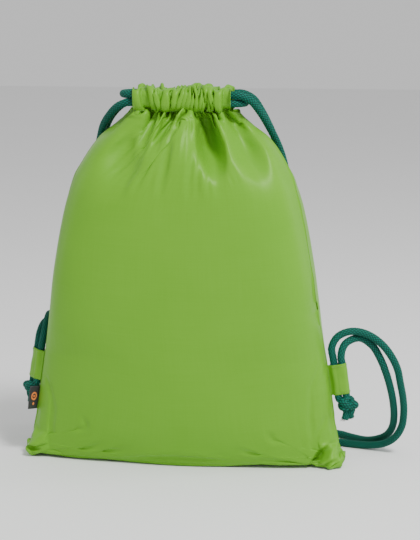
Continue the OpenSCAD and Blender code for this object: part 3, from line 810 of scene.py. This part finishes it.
class Grid:
    """Position-based cloth: rows run up the cloth, columns across it, for the front (0) and the back (1)."""

    def batches(s):
        def pairs(X, axis, k):
            out = []
            for o in range(2 * k):
                A, B = (X[:, :, o::2 * k], X[:, :, o + k::2 * k]) if axis == 0 else (X[:, o::2 * k], X[:, o + k::2 * k])
                m = min(A.shape[2 - axis], B.shape[2 - axis])
                if m > 0:
                    out.append((A[:, :, :m], B[:, :, :m]) if axis == 0 else (A[:, :m], B[:, :m]))
            return out

        def diagonals(X):
            out = []
            for oj in (0, 1):
                A, B = X[:, oj:-1:2], X[:, oj + 1::2]
                m = min(A.shape[1], B.shape[1])
                A, B = A[:, :m], B[:, :m]
                for oi in (0, 1):
                    a, b = A[:, :, oi:-1:2], B[:, :, oi + 1::2]
                    k = min(a.shape[2], b.shape[2])
                    out.append((a[:, :, :k], b[:, :, :k]))
                    a, b = A[:, :, oi + 1::2], B[:, :, oi:-1:2]
                    k = min(a.shape[2], b.shape[2])
                    out.append((a[:, :, :k], b[:, :, :k]))
            return out

        def rest(kind, *key):
            """Rest lengths measured on the tailored shape, longer where the cloth is gathered."""
            P, Q, E = kind(s.X, *key), kind(s.T, *key), kind(s.ease, *key)
            return [(a, b, np.linalg.norm(c - d, axis=-1) * (0.5 * (e + f))[..., 0]) for (a, b), (c, d), (e, f) in zip(P, Q, E)]
        s.h1, s.v1, s.h2, s.v2, s.h4, s.v4 = [rest(pairs, ax, k) for k in (1, 2, 4) for ax in (0, 1)]
        for v in (s.v1, s.v2, s.v4):
            E = pairs(s.ease, 1, 1 if v is s.v1 else 2 if v is s.v2 else 4)
            for i, (a, b, L) in enumerate(v):
                v[i] = (a, b, L / (0.5 * (E[i][0] + E[i][1]))[..., 0])
        s.diag = rest(diagonals)

    def cohere(s, bend, shear):
        for A, B, L in s.h1:
            edge(A, B, L, 1.0)
        for A, B, L in s.v1:
            edge(A, B, L, 1.0)
        for A, B, L in s.diag:
            edge(A, B, L, shear)
        for A, B, L in s.h2:
            edge_min(A, B, L, bend)
        for A, B, L in s.v2:
            edge_min(A, B, L, bend)
        for A, B, L in s.h4:
            edge_min(A, B, L * 0.98, bend * 0.6)
        for A, B, L in s.v4:
            edge_min(A, B, L * 0.98, bend * 0.6)

    def keep_order(s, j0, j1, eps=0.10):
        """Columns stay in order across the bag, so that pleats never cross."""
        x = s.X[:, j0:j1, :, 0]
        for a, b in ((x[..., 0:-1:2], x[..., 1::2]), (x[..., 1:-1:2], x[..., 2::2])):
            m = min(a.shape[-1], b.shape[-1])
            d = np.minimum(b[..., :m] - a[..., :m] - eps * s.du, 0) * 0.5
            a[..., :m] += d
            b[..., :m] -= d

    def speed(s, old):
        s.V = s.X - old
        l = np.linalg.norm(s.V, axis=-1, keepdims=True)
        s.V *= np.minimum(1, 1.5 / (l + 1e-9))


class Panels(Grid):
    def __init__(s, NU, NVp, X=None):
        s.NU, s.NVp = NU, NVp
        s.du, s.dv = FLAT_W / (NU - 1), FLAT_H / (NVp - 1)
        s.T = tailored(NU, NVp)
        s.X = s.T.copy() if X is None else X
        z = s.T[:, :, :, 2:3]
        g = np.linalg.norm(np.diff(s.T, axis=2), axis=-1).sum(2)[:, :, None, None]
        up = smooth01((z - 343) / 14)
        s.ease = (1 + 0.012 * smooth01((z - 262) / 40)) * (1 - up) + up * FLAT_W / g
        s.V = np.zeros_like(s.X)
        s.row = np.zeros((2, NU, 3))
        for side in (0, 1):
            sg = -1 if side == 0 else 1
            x, y, m, _, _ = pleat_row(NU, side, 7 + 20 * side)
            s.row[side, :, 0] = x
            s.row[side, :, 1] = sg * HINGE_Y + y * 0.9 + m
            s.row[side, :, 2] = HINGE_Z
        s.slit = int(round((FLAT_H - 5) / s.dv))
        for e in (0, -1):
            s.X[0, :s.slit, e] = s.X[1, :s.slit, e] = 0.5 * (s.X[0, :s.slit, e] + s.X[1, :s.slit, e])

    def fix(s):
        X = s.X
        X[:, -1] = s.row
        for e, sg in ((0, -1.0), (-1, 1.0)):
            m = 0.5 * (X[0, :s.slit, e] + X[1, :s.slit, e])
            z = m[:, 2]
            a, b, n = prof(z)
            y = seam_y(z) if sg > 0 else 0 * z
            x = sg * (a + 0.6) * (1 - (np.abs(y) / b) ** n) ** (1 / n)
            k = 0.6 * smooth01((z - 8) / 8) * smooth01((340 - z) / 20)
            m[:, 0] += k * (x - m[:, 0])
            m[:, 1] += k * (y - m[:, 1])
            X[0, :s.slit, e] = m
            X[1, :s.slit, e] = m
        m = 0.5 * (X[0, 0] + X[1, 0])
        m[:, 1] = np.clip(m[:, 1], -5, 5) * 0.9
        m[:, 2] = 0.7 + rise(m[:, 0], 0 * m[:, 0])
        m[0, 0], m[-1, 0] = -164.3, 164.3
        X[0, 0] = m
        X[1, 0] = m

    def collide(s):
        X = s.X
        for side in (0, 1):
            sg = -1.0 if side == 0 else 1.0
            P = X[side]
            x, y, z = P[..., 0], P[..., 1], P[..., 2]
            a, b, n = prof(z)
            top = smooth01((z - 325) / 30)
            dep = relief(x, z, side)
            low = smooth01(1 - z / 16)
            ain = (a - 0.6) * (1 - 0.10 * top)
            bin_ = (b - 1.2) * (1 - 0.12 * top) * (1 - 0.08 * low) - dep
            bin_ = np.maximum(bin_, 2.0)
            yy = np.maximum(sg * y, 0.0)
            F = (np.abs(x) / ain) ** n + (yy / bin_) ** n
            inside = (F < 1) & (z < 350) & (z > 2.5)
            fx = np.abs(x) / ain
            sc = np.maximum(F, 1e-6) ** (-1 / n)
            ymid = bin_ * np.maximum(1 - np.minimum(fx, 0.999) ** n, 0) ** (1 / n)
            w = smooth01((fx - 0.80) / 0.15)
            P[..., 0] = np.where(inside, x * (w * np.minimum(sc, 1.6) + (1 - w)), x)
            P[..., 1] = np.where(inside, sg * (w * yy * np.minimum(sc, 1.6) + (1 - w) * ymid), y)
            x, y = P[..., 0], P[..., 1]
            aout, bout = a + 1.2, np.maximum(b + 1.2 + 2.0 * top - dep, 3.0)
            yy = np.maximum(sg * y, 0.0)
            fx = np.abs(x) / aout
            F = fx ** n + (yy / bout) ** n
            out = (F > 1) & (z < 352) & ((z > 26) | ((np.abs(x) < 140) & (z > 3)))
            sc = np.maximum(F, 1e-6) ** (-1 / n)
            ymid = bout * np.maximum(1 - np.minimum(fx, 0.999) ** n, 0) ** (1 / n)
            w = smooth01((fx - 0.80) / 0.15)
            k = 0.6
            P[..., 0] = np.where(out, x * (1 - w * k * (1 - sc)), x)
            P[..., 1] = np.where(out, y + k * (w * (y * sc - y) + (1 - w) * (sg * ymid - y)), y)
            P[..., 2] = np.maximum(P[..., 2], 0.6)
            lim = np.where(P[..., 2] < 30, np.maximum(164.6 - 0.45 * np.abs(P[..., 2] - 8), a + 1.0), 400.0)
            P[..., 0] = np.clip(P[..., 0], -lim, lim)

    def run(s, n, press, bend, damp=0.9, shear=0.4, inner=2):
        s.batches()
        j0 = int(FLAT_H * 0.80 / s.dv)
        for _ in range(n):
            old = s.X.copy()
            s.X += damp * s.V
            nn = normals(s.X)
            for side in (0, 1):
                d = relief(s.X[side, ..., 0], s.X[side, ..., 2], side)
                p = press * np.clip(1 - d / 4.0, -2.5, 1.5)
                s.X[side] += (p * smooth01((366 - s.X[side, ..., 2]) / 20))[..., None] * nn[side]
            s.X[..., 2] -= press * 0.10
            for _ in range(inner):
                s.cohere(bend, shear)
                s.keep_order(j0, -1)
                s.collide()
                s.fix()
            s.speed(old)


class Casings(Grid):
    """The hemmed tunnels: each column leaves the stitch line, goes round the two cords and comes back to it."""

    def __init__(s, NU, NW):
        s.NU, s.NW = NU, NW
        s.du, s.dv = FLAT_W / (NU - 1), CASE_H / (NW - 1)
        s.X = np.zeros((2, NW, NU, 3))
        for side in (0, 1):
            sg = -1 if side == 0 else 1
            x, y, m, ph, slope = pleat_row(NU, side, 7 + 20 * side)
            for i in range(NU):
                off = (y[i] * 0.9 + m[i]) * sg
                r = 7.6
                a = np.linspace(0, math.pi, 25)
                loop = np.concatenate([[[off, HINGE_Z]], np.stack([r * np.cos(a), RIGHT_Z + r * np.sin(a)], 1)[:1] - [[0, 8]],
                                       np.stack([r * np.cos(a), RIGHT_Z + r * np.sin(a)], 1), [[-r, LEFT_Z]], [[off, HINGE_Z - 0.3]]])
                ctr = np.array([0.0, 370.0])
                l = np.concatenate([[0], np.cumsum(np.linalg.norm(np.diff(loop, axis=0), axis=1))])
                t = np.linspace(0, l[-1], NW)
                q = np.stack([np.interp(t, l, loop[:, 0]), np.interp(t, l, loop[:, 1])], 1)
                w = t / l[-1]
                phase = ph[i] + 0.5 * smooth01((w - 0.22) / 0.56) + 0.10 * np.sin(3 * w + i * 0.05)
                tri = 2 * np.abs((phase + 0.25) % 1 - 0.5) * 2 - 1
                hang = smooth01(w / 0.16) * smooth01((1 - w) / 0.16)
                d = q - ctr
                d /= np.linalg.norm(d, axis=1, keepdims=True) + 1e-9
                amp = 3.1 * slope[i] * hang * sg
                q = q + d * (amp * tri)[:, None]
                s.X[side, :, i, 0] = x[i]
                s.X[side, :, i, 1] = sg * (HINGE_Y + q[:, 0])
                s.X[side, :, i, 2] = q[:, 1]
        s.T = np.zeros((2, NW, NU, 3))
        s.T[..., 0] = np.arange(NU) * s.du
        s.T[..., 2] = (np.arange(NW) * s.dv)[:, None]
        s.ease = np.ones((2, NW, NU, 1))
        s.first, s.last = s.X[:, 0].copy(), s.X[:, -1].copy()
        s.V = np.zeros_like(s.X)

    def collide(s):
        for side in (0, 1):
            sg = -1.0 if side == 0 else 1.0
            P = s.X[side]
            y = sg * P[..., 1] - HINGE_Y
            z = P[..., 2]
            zc = np.clip(z, LEFT_Z, RIGHT_Z)
            dz = z - zc
            r = np.sqrt(y * y + dz * dz) + 1e-9
            r2 = np.where(z > LEFT_Z - 6, np.clip(r, 4.75, 11.2), np.minimum(r, 11.5))
            y2, dz2 = y * r2 / r, dz * r2 / r
            y2 = np.maximum(y2, -(HINGE_Y - 1.0))
            P[..., 1] = sg * (HINGE_Y + y2)
            P[..., 2] = np.maximum(zc + dz2, HINGE_Z - 0.3)
            P[..., 0] = np.clip(P[..., 0], -48.5, 48.5)
        s.X[:, 0], s.X[:, -1] = s.first, s.last

    def run(s, n, bend, press=0.10, damp=0.85):
        s.batches()
        for _ in range(n):
            old = s.X.copy()
            s.X += damp * s.V
            s.X += press * normals(s.X)
            for _ in range(2):
                s.cohere(bend, 0.25)
                s.keep_order(1, -1, 0.12)
                s.collide()
            s.speed(old)


def simulate():
    """The cloth of both sides, rows from the bottom seam to the inner end of the casing. mm."""
    b = Panels(35, 41)
    b.run(160, 0.3, 0.25)
    b = Panels(69, 81, finer_grid(b.X))
    b.run(170, 0.15, 0.20)
    b = Panels(137, 161, finer_grid(b.X))
    b.run(150, 0.06, 0.15)
    b.run(40, 0.0, 0.12, damp=0.4)
    c = Casings(b.NU, 25)
    c.run(140, 0.10)
    return np.concatenate([b.X, c.X[:, 1:]], 1), b.NVp


cloth, NVP = simulate()


def clear_cords(X):
    """Where a cord lies against the cloth, the cloth gives way."""
    P = np.concatenate([l[::5] for l in strap_lines])
    for side in (0, 1):
        Q = X[side].reshape(-1, 3)
        near = np.where((np.abs(Q[:, 1]) > -1) & (Q[:, 2] < 372))[0]
        for lo in range(0, len(near), 4000):
            k = near[lo:lo + 4000]
            d = Q[k][:, None] - P[None]
            l = np.sqrt((d * d).sum(-1))
            j = l.argmin(1)
            m = l[np.arange(len(k)), j]
            hit = m < CORD_R + 1.2
            if not hit.any():
                continue
            kk, jj = k[hit], j[hit]
            aim = np.stack([np.clip(Q[kk, 0], -80, 80) * 0.9, np.zeros(len(kk)), np.clip(Q[kk, 2], 30, 320)], 1)
            g = aim - P[jj]
            g /= np.linalg.norm(g, axis=1, keepdims=True)
            want = P[jj] + g * (CORD_R + 1.2)
            e = (want - Q[kk])
            step = np.maximum((e * g).sum(1), 0)
            Q[kk] += g * step[:, None]
        X[side] = Q.reshape(X[side].shape)
    return X


def soften(X, rows, k=0.5, times=1):
    for _ in range(times):
        Y = X.copy()
        Y[:, 1:-1, 1:-1] = (X[:, 1:-1, :-2] + X[:, 1:-1, 2:] + X[:, :-2, 1:-1] + X[:, 2:, 1:-1]) / 4
        X[:, rows] += k * (Y[:, rows] - X[:, rows])
    return X


cloth = finer_grid(cloth)
NVP = 2 * NVP - 1
# the side seams run fair: a stitched edge doesn't jog from one row to the next
NUF = cloth.shape[2]
for e, inward in ((0, 1), (NUF - 1, -1)):
    edge = 0.5 * (cloth[0, :NVP, e] + cloth[1, :NVP, e])
    h = max(2, NVP // 18)
    pad = np.pad(edge, ((h, h), (0, 0)), mode="edge")
    fair = np.stack([np.median(pad[i:i + 2 * h + 1], axis=0) for i in range(NVP)])
    for _ in range(12):
        fair[1:-1] = 0.25 * fair[:-2] + 0.5 * fair[1:-1] + 0.25 * fair[2:]
    k = smooth01((edge[:, 2] - 106) / 16) * smooth01((330 - edge[:, 2]) / 16)
    d = (fair - edge) * k[:, None]
    d[:, 2] = 0
    for c in range(NUF // 14):
        cloth[:, :NVP, e + inward * c] += d[None] * float(1 - smooth01(c / (NUF // 14)))
z0 = cloth[..., 2]
band = (smooth01((z0 - 14) / 20) * smooth01((344 - z0) / 6))[..., None]
band[:, NVP:] = 0
for _ in range(9):
    Y = cloth.copy()
    Y[:, 1:-1, 1:-1] = (cloth[:, 1:-1, :-2] + cloth[:, 1:-1, 2:] + cloth[:, :-2, 1:-1] + cloth[:, 2:, 1:-1]) / 4
    cloth += 0.6 * band * (Y - cloth)
for side, a, b, w, dep, skew in CORNERS:
    x, z = cloth[side, :NVP, :, 0], cloth[side, :NVP, :, 2]
    sg = -1.0 if side == 0 else 1.0
    t, q = along(x, z, a, b)
    tt = np.clip(t, 0, 1)
    ww = np.maximum(w * (0.35 + 0.65 * smooth01(tt / 0.5)) * np.maximum(1 - tt ** 3, 0.0) ** 0.6, 0.05)
    r = np.clip(-q / ww, -1.3, 1.3)
    d = dep * np.maximum(1 - r * r, 0) * (1 + skew * r) * smooth01((t + 0.1) / 0.3) * smooth01((1.0 - t) / 0.5)
    y = sg * cloth[side, :NVP, :, 1]
    keep = np.minimum(y, 1.2)
    under = np.arange(NVP)[:, None] >= int(UNDER / FLAT_H * NVP)
    cloth[side, :NVP, :, 1] = sg * np.where(under, np.maximum(y - d, keep), y)
cloth = clear_cords(cloth)
for e, sg in ((0, -1.0), (-1, 1.0)):
    k = smooth01((cloth[0, :, e, 2] - 10) / 10) * smooth01((345 - cloth[0, :, e, 2]) / 10)
    k[NVP:] = 0
    d = 0.5 * (cloth[0, :, e] + cloth[1, :, e]) - 0.5 * (cloth[0, :, 3 if e == 0 else -4] + cloth[1, :, 3 if e == 0 else -4])
    d[:, 2] = 0
    d /= np.linalg.norm(d, axis=1, keepdims=True) + 1e-9
    cloth[0, :, e] += d * (1.2 * k)[:, None]
    cloth[1, :, e] += d * (1.2 * k)[:, None]
NV, NU = cloth.shape[1:3]
vv = np.concatenate([np.linspace(0, FLAT_H, NVP), FLAT_H + np.linspace(0, CASE_H, NV - NVP + 1)[1:]])
uu = np.linspace(0, FLAT_W, NU)


def cloth_object(name, X, side, mat):
    """The sheet with a little thickness, closed along its edges."""
    t = 0.35
    nn = normals(np.stack([X, X]))[0] * (1 if side == 0 else -1)
    outer, inner = X, X - nn * t
    idx = np.arange(NV * NU).reshape(NV, NU)
    o = NV * NU
    q = np.stack([idx[:-1, :-1], idx[:-1, 1:], idx[1:, 1:], idx[1:, :-1]], -1).reshape(-1, 4)
    if side == 1:
        q = q[:, ::-1]
    qi = q[:, ::-1] + o
    rim = []
    loop = list(idx[0]) + list(idx[1:, -1]) + list(idx[-1, ::-1][1:]) + list(idx[::-1, 0][1:-1])
    for a, b in zip(loop, loop[1:] + loop[:1]):
        rim.append([b, a, a + o, b + o] if side == 0 else [a, b, b + o, a + o])
    F = np.concatenate([q, qi, np.array(rim)])
    U, Vv = np.meshgrid(uu, vv)
    uv = np.stack([U, Vv], -1).reshape(-1, 2) * 0.001
    ob = make(name, np.concatenate([outer.reshape(-1, 3), inner.reshape(-1, 3)]), F, mat, np.concatenate([uv, uv]))
    return ob


# ------------------------------------------------------------------ bag pieces
for side, who in ((0, "front"), (1, "back")):
    ob = cloth_object(who + "_cloth", cloth[side], side, M_CLOTH)
    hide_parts(who + "_panel", who + "_casing")
    sg = -1 if side == 0 else 1
    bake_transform(ob)


def stitch_line(name, pts, nrm, body, node, length=2.6, pitch=4.0, r=0.28, mat=M_THREAD):
    """Short threads along a line on the cloth: pts and their outward directions, mm."""
    s = np.concatenate([[0], np.cumsum(np.linalg.norm(np.diff(pts, axis=0), axis=1))])
    parts = []
    k = 0
    while (k + 1) * pitch < s[-1]:
        a = np.linspace(k * pitch, k * pitch + length, 7)
        c = np.stack([np.interp(a, s, pts[:, i]) for i in range(3)], 1)
        n = np.stack([np.interp(a, s, nrm[:, i]) for i in range(3)], 1)
        n /= np.linalg.norm(n, axis=1, keepdims=True) + 1e-9
        lift = 0.32 * np.sin(np.linspace(0, math.pi, 7)) - 0.02
        c = c + n * lift[:, None]
        t, u, v = frames(c, tuple(n[0]))
        th = np.linspace(0, 2 * math.pi, 7)[:-1]
        P = c[:, None] + r * (np.cos(th)[None, :, None] * u[:, None] + np.sin(th)[None, :, None] * v[:, None])
        V = P.reshape(-1, 3)
        F = []
        for i in range(6):
            for j in range(6):
                F.append([i * 6 + j, i * 6 + (j + 1) % 6, (i + 1) * 6 + (j + 1) % 6, (i + 1) * 6 + j])
        F.append([5, 4, 3, 2, 1, 0])
        F.append([36, 37, 38, 39, 40, 41])
        parts.append((V, F, np.zeros((len(V), 2))))
        k += 1
    V, F, U = join(parts)
    ob = make(name, V, F, mat, U)
    if node:
        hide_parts(node)
    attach(ob, body)
    return ob


ALLN = normals(cloth)
for side, who in ((0, "front"), (1, "back")):
    j = NVP + 1
    stitch_line(who + "_casing_stitch", cloth[side, j], ALLN[side, j], who + "_lip", who + "_casing_stitch", pitch=3.6, length=2.4)


def strip(name, P, inward, width, th, node, body, mat=M_CLOTH):
    """A stitched allowance inside a seam: a thin folded band from points P along inward."""
    n = len(P)
    t = np.gradient(P, axis=0)
    t /= np.linalg.norm(t, axis=1, keepdims=True)
    w = np.cross(t, inward)
    w /= np.linalg.norm(w, axis=1, keepdims=True)
    rows = []
    for a, b in ((0.6, -th), (width, -th), (width + 0.3, 0), (width, th), (0.6, th)):
        rows.append(P + inward * a + w * b)
    V = np.stack(rows, 1)
    k = 5
    idx = np.arange(n * k).reshape(n, k)
    nx = np.roll(idx, -1, axis=1)
    F = np.stack([idx[:-1], nx[:-1], nx[1:], idx[1:]], -1).reshape(-1, 4).tolist()
    F += [[int(i) for i in idx[0][::-1]], [int(i) for i in idx[-1]]]
    uv = np.zeros((n * k, 2))
    uv[:, 1] = np.repeat(np.arange(n), k) * 0.002
    uv[:, 0] = np.tile(np.arange(k), n) * 0.002
    ob = make(name, V.reshape(-1, 3), F, mat, uv)
    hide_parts(node)
    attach(ob, body)
    return ob


SLIT = int(np.searchsorted(vv, FLAT_H - 40))
for e, who, sg in ((0, "left", -1.0), (-1, "right", 1.0)):
    P = cloth[0, 6:SLIT, e]
    inward = np.tile(np.array([-sg, 0.0, 0.0]), (len(P), 1))
    strip(who + "_side_seam", P, inward, 6.5, 0.6, who + "_side_seam", "bag")
P = cloth[0, 0, 14:-14]
strip("bottom_seam", P, np.tile(np.array([0.0, 0.0, 1.0]), (len(P), 1)), 6.5, 0.6, "bottom_seam", "bag")


# ------------------------------------------------------------------ tabs
def tab(side, tz, fold, who):
    """A folded strip of the bag's cloth: two layers at the seam, open round the two cords."""
    half = [(-2.6, 0.45), (-1.0, 0.6), (0.6, 1.5), (2.0, 3.3), (3.4, 4.3), (5.0, 4.55), (8.0, 4.6), (11.0, 4.6), (13.0, 4.55),
            (14.9, 4.1), (16.4, 2.9), (17.3, 1.4), (17.6, 0.0)]
    half = np.array(half)
    loop = np.vstack([half, half[::-1][1:] * [1, -1]])
    m = len(loop)
    s = np.concatenate([[0], np.cumsum(np.linalg.norm(np.diff(loop, axis=0), axis=1))])
    K = 61
    st = np.linspace(0, s[-1], K)
    L = np.stack([np.interp(st, s, loop[:, i]) for i in range(2)], 1)
    for _ in range(2):
        L[1:-1] = 0.25 * L[:-2] + 0.5 * L[1:-1] + 0.25 * L[2:]
    d = np.gradient(L, axis=0)
    nrm = np.stack([-d[:, 1], d[:, 0]], 1)
    nrm /= np.linalg.norm(nrm, axis=1, keepdims=True)
    if (nrm[K // 4] @ [0, 1]) < 0:
        nrm = -nrm
    Z = np.linspace(-TAB_H / 2, TAB_H / 2, 33)
    rng = np.random.RandomState(3 + side)
    ph = rng.uniform(0, 6.28, 6)
    G = []
    for layer in (0, 1):
        rows = []
        for z in Z:
            e = (abs(z) / (TAB_H / 2)) ** 6
            wv = 0.16 * np.sin(st / 4.1 + z / 6.0 + ph[0]) + 0.12 * np.sin(st / 2.3 - z / 4.0 + ph[1]) - 0.10 * np.cos(z / 2.4 + ph[2])
            hem = 0.22 * (1 - smooth01((TAB_H / 2 - abs(z)) / 0.9)) * -1 + 0.12 * e
            off = (wv * smooth01((L[:, 0] + 1.0) / 4) + hem) - (0.55 if layer else 0.0)
            # a pressed fold a third of the way out
            cr = np.exp(-((L[:, 0] - 7.0) / 0.8) ** 2) * 0.35
            p = L + nrm * (off - cr)[:, None]
            rows.append(np.stack([p[:, 0], p[:, 1], np.full(K, z + 0.25 * np.sin(st / 7 + ph[3]) * (1 if z > 0 else 0.6))], 1))
        G.append(np.stack(rows))
    n = len(Z)
    V = in_tab(side, tz, fold, np.concatenate([G[0].reshape(-1, 3), G[1].reshape(-1, 3)]))
    idx = np.arange(n * K).reshape(n, K)
    o = n * K
    q = np.stack([idx[:-1, :-1], idx[:-1, 1:], idx[1:, 1:], idx[1:, :-1]], -1).reshape(-1, 4)
    F = q.tolist() + (q[:, ::-1] + o).tolist()
    lp = list(idx[0]) + list(idx[1:, -1]) + list(idx[-1, ::-1][1:]) + list(idx[::-1, 0][1:-1])
    for a, b in zip(lp, lp[1:] + lp[:1]):
        F.append([b, a, a + o, b + o])
    if side < 0:
        F = [f[::-1] for f in F]
    uv = np.stack([np.tile(st, n), np.repeat(Z, K)], 1) * 0.001
    ob = make(who + "_tab", V, [list(map(int, f)) for f in F], M_CLOTH, np.concatenate([uv, uv]))
    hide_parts(who + "_tab")
    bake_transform(ob)
    # rows of stitching along the tab's two hems, and the bartack at its root
    for tag, z in (("top", TAB_H / 2 - 2.0), ("low", -TAB_H / 2 + 2.0)):
        lo, hi = int(K * 0.10), int(K * 0.90)
        pts = np.stack([L[lo:hi, 0] + nrm[lo:hi, 0] * 0.12, L[lo:hi, 1] + nrm[lo:hi, 1] * 0.12, np.full(hi - lo, z)], 1)
        nn = np.stack([nrm[lo:hi, 0], nrm[lo:hi, 1], np.zeros(hi - lo)], 1)
        P = in_tab(side, tz, fold, pts)
        N = in_tab(side, tz, fold, pts + nn) - P
        stitch_line(who + "_tab_stitch_" + tag, P, N, who + "_tab", None, length=1.9, pitch=2.9, r=0.2)
    zz = np.linspace(-TAB_H / 2 + 1.2, TAB_H / 2 - 1.2, 60)
    pts = np.stack([np.full(60, -1.6), 0.55 + 0.25 * np.sign(np.sin(zz * 4)), zz], 1)
    P = in_tab(side, tz, 0.0, pts)
    N = in_tab(side, tz, 0.0, pts + [0, 1, 0]) - P
    pts2 = pts * [1, -1, 1]
    P2 = in_tab(side, tz, 0.0, pts2)
    N2 = in_tab(side, tz, 0.0, pts2 - [0, 1, 0]) - P2
    stitch_line(who + "_tab_bartack", np.vstack([P, P2]), np.vstack([N, N2]), "bag", who + "_tab_bartack", length=1.6, pitch=2.0, r=0.22)
    return ob


tab(1, RIGHT_TAB_Z, 0.0, "right")
tab(-1, LEFT_TAB_Z, LEFT_FOLD, "left")


# ------------------------------------------------------------------ flag label
def label():
    """A folded woven ribbon in the left seam, with a plain woven ring as its mark."""
    w, h, t = 12.0, 24.0, 0.42
    X = np.linspace(-1.3, w + 0.3, 30)
    Z = np.linspace(-h / 2, h / 2, 45)
    G = []
    for sg in (-1, 1):
        rows = []
        for z in Z:
            curl = 0.5 * np.sin((X / w) * 1.6) * np.sin(z / h * 2.6 + 0.6)
            thick = t * np.sqrt(np.clip(1 - np.clip((X - w + 0.4) / 0.75, 0, 1) ** 2, 0.02, 1))
            rows.append(np.stack([X, curl + sg * thick, np.full(30, z)], 1))
        G.append(np.stack(rows))
    V = np.concatenate([g.reshape(-1, 3) for g in G])
    V = in_tab(-1, LABEL_Z, -LABEL_LEAN, V, LABEL_OUT)
    n, k = len(Z), len(X)
    idx = np.arange(n * k).reshape(n, k)
    o = n * k
    q = np.stack([idx[:-1, :-1], idx[:-1, 1:], idx[1:, 1:], idx[1:, :-1]], -1).reshape(-1, 4)
    F = q[:, ::-1].tolist() + (q + o).tolist()
    lp = list(idx[0]) + list(idx[1:, -1]) + list(idx[-1, ::-1][1:]) + list(idx[::-1, 0][1:-1])
    for a, b in zip(lp, lp[1:] + lp[:1]):
        F.append([a, b, b + o, a + o])
    uv = np.stack([np.tile(X, n), np.repeat(Z, k)], 1) * 0.001
    ob = make("label", V, [list(map(int, f)) for f in F], M_LABEL, np.concatenate([uv, uv]))
    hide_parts("label")
    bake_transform(ob)
    parts = []
    for sg in (-1, 1):
        for cz, ro, ri in ((1.5, 3.9, 2.3), (1.5, 1.1, 0.0), (-6.5, 1.3, 0.0)):
            th = np.linspace(0, 2 * math.pi, 41)[:-1]
            rings = [(ri, 0.0), (ri + 0.1, 0.16), (ro - 0.15, 0.16), (ro, 0.0)] if ri > 0 else [(0.01, 0.16), (ro - 0.15, 0.16), (ro, 0.0)]
            R = []
            for r, lift in rings:
                x = 6.2 + r * np.cos(th) * 0.9
                z = cz + r * np.sin(th) * 1.15
                curl = 0.5 * np.sin((x / w) * 1.6) * np.sin(z / h * 2.6 + 0.6)
                R.append(np.stack([x, curl + sg * (t + lift), z], 1))
            R = np.stack(R)
            a, b = R.shape[:2]
            i2 = np.arange(a * b).reshape(a, b)
            nx = np.roll(i2, -1, axis=1)
            q = np.stack([i2[:-1], nx[:-1], nx[1:], i2[1:]], -1).reshape(-1, 4)
            if sg > 0:
                q = q[:, ::-1]
            base = R.copy()
            V2 = R.reshape(-1, 3)
            parts.append((in_tab(-1, LABEL_Z, -LABEL_LEAN, V2, LABEL_OUT), q.tolist(), V2[:, [0, 2]] * 0.001))
    V, F, U = join(parts)
    mk = make("label_mark", V, F, M_MARK, U)
    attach(mk, "label")
    zz = np.linspace(-h / 2 + 0.8, h / 2 - 0.8, 30)
    pts = np.stack([np.full(30, -0.9), np.full(30, -0.5), zz], 1)
    P = in_tab(-1, LABEL_Z, 0.0, pts, LABEL_OUT)
    N = in_tab(-1, LABEL_Z, 0.0, pts - [0, 1, 0], LABEL_OUT) - P
    stitch_line("label_stitch", P, N, "bag", "label_stitch", length=1.4, pitch=2.1, r=0.2)


label()

# ------------------------------------------------------------------ stage and light
S = 6.0
fl = make("floor", [[-S, -S, 0], [S, -S, 0], [S, S, 0], [-S, S, 0]], [[0, 1, 2, 3]], floor_material(), uv=[[0, 0], [1, 0], [1, 1], [0, 1]], smooth=False, scale=1.0)
world = bpy.data.worlds.new("studio")
world.use_nodes = True
bg = world.node_tree.nodes["Background"]
bg.inputs[0].default_value = (1, 1, 1, 1)
bg.inputs[1].default_value = 0.70
bpy.context.scene.world = world


def area(name, loc, size, power, aim=(0, 0, 0.19), size_y=None):
    l = bpy.data.lights.new(name, "AREA")
    l.energy = power
    l.shape = "RECTANGLE"
    l.size, l.size_y = size, size_y or size
    o = bpy.data.objects.new(name, l)
    o.location = loc
    o.rotation_euler = (Vector(aim) - Vector(loc)).to_track_quat("-Z", "Y").to_euler()
    bpy.context.scene.collection.objects.link(o)


area("key", (1.1, -1.2, 2.2), 0.6, 68.0)
area("fill", (-1.5, -1.1, 0.9), 0.8, 1.5, size_y=1.4)
area("edge_right", (1.5, 0.35, 0.7), 0.35, 6.0, size_y=1.3)
area("edge_left", (-1.5, 0.25, 0.7), 0.30, 2.0, size_y=1.3)
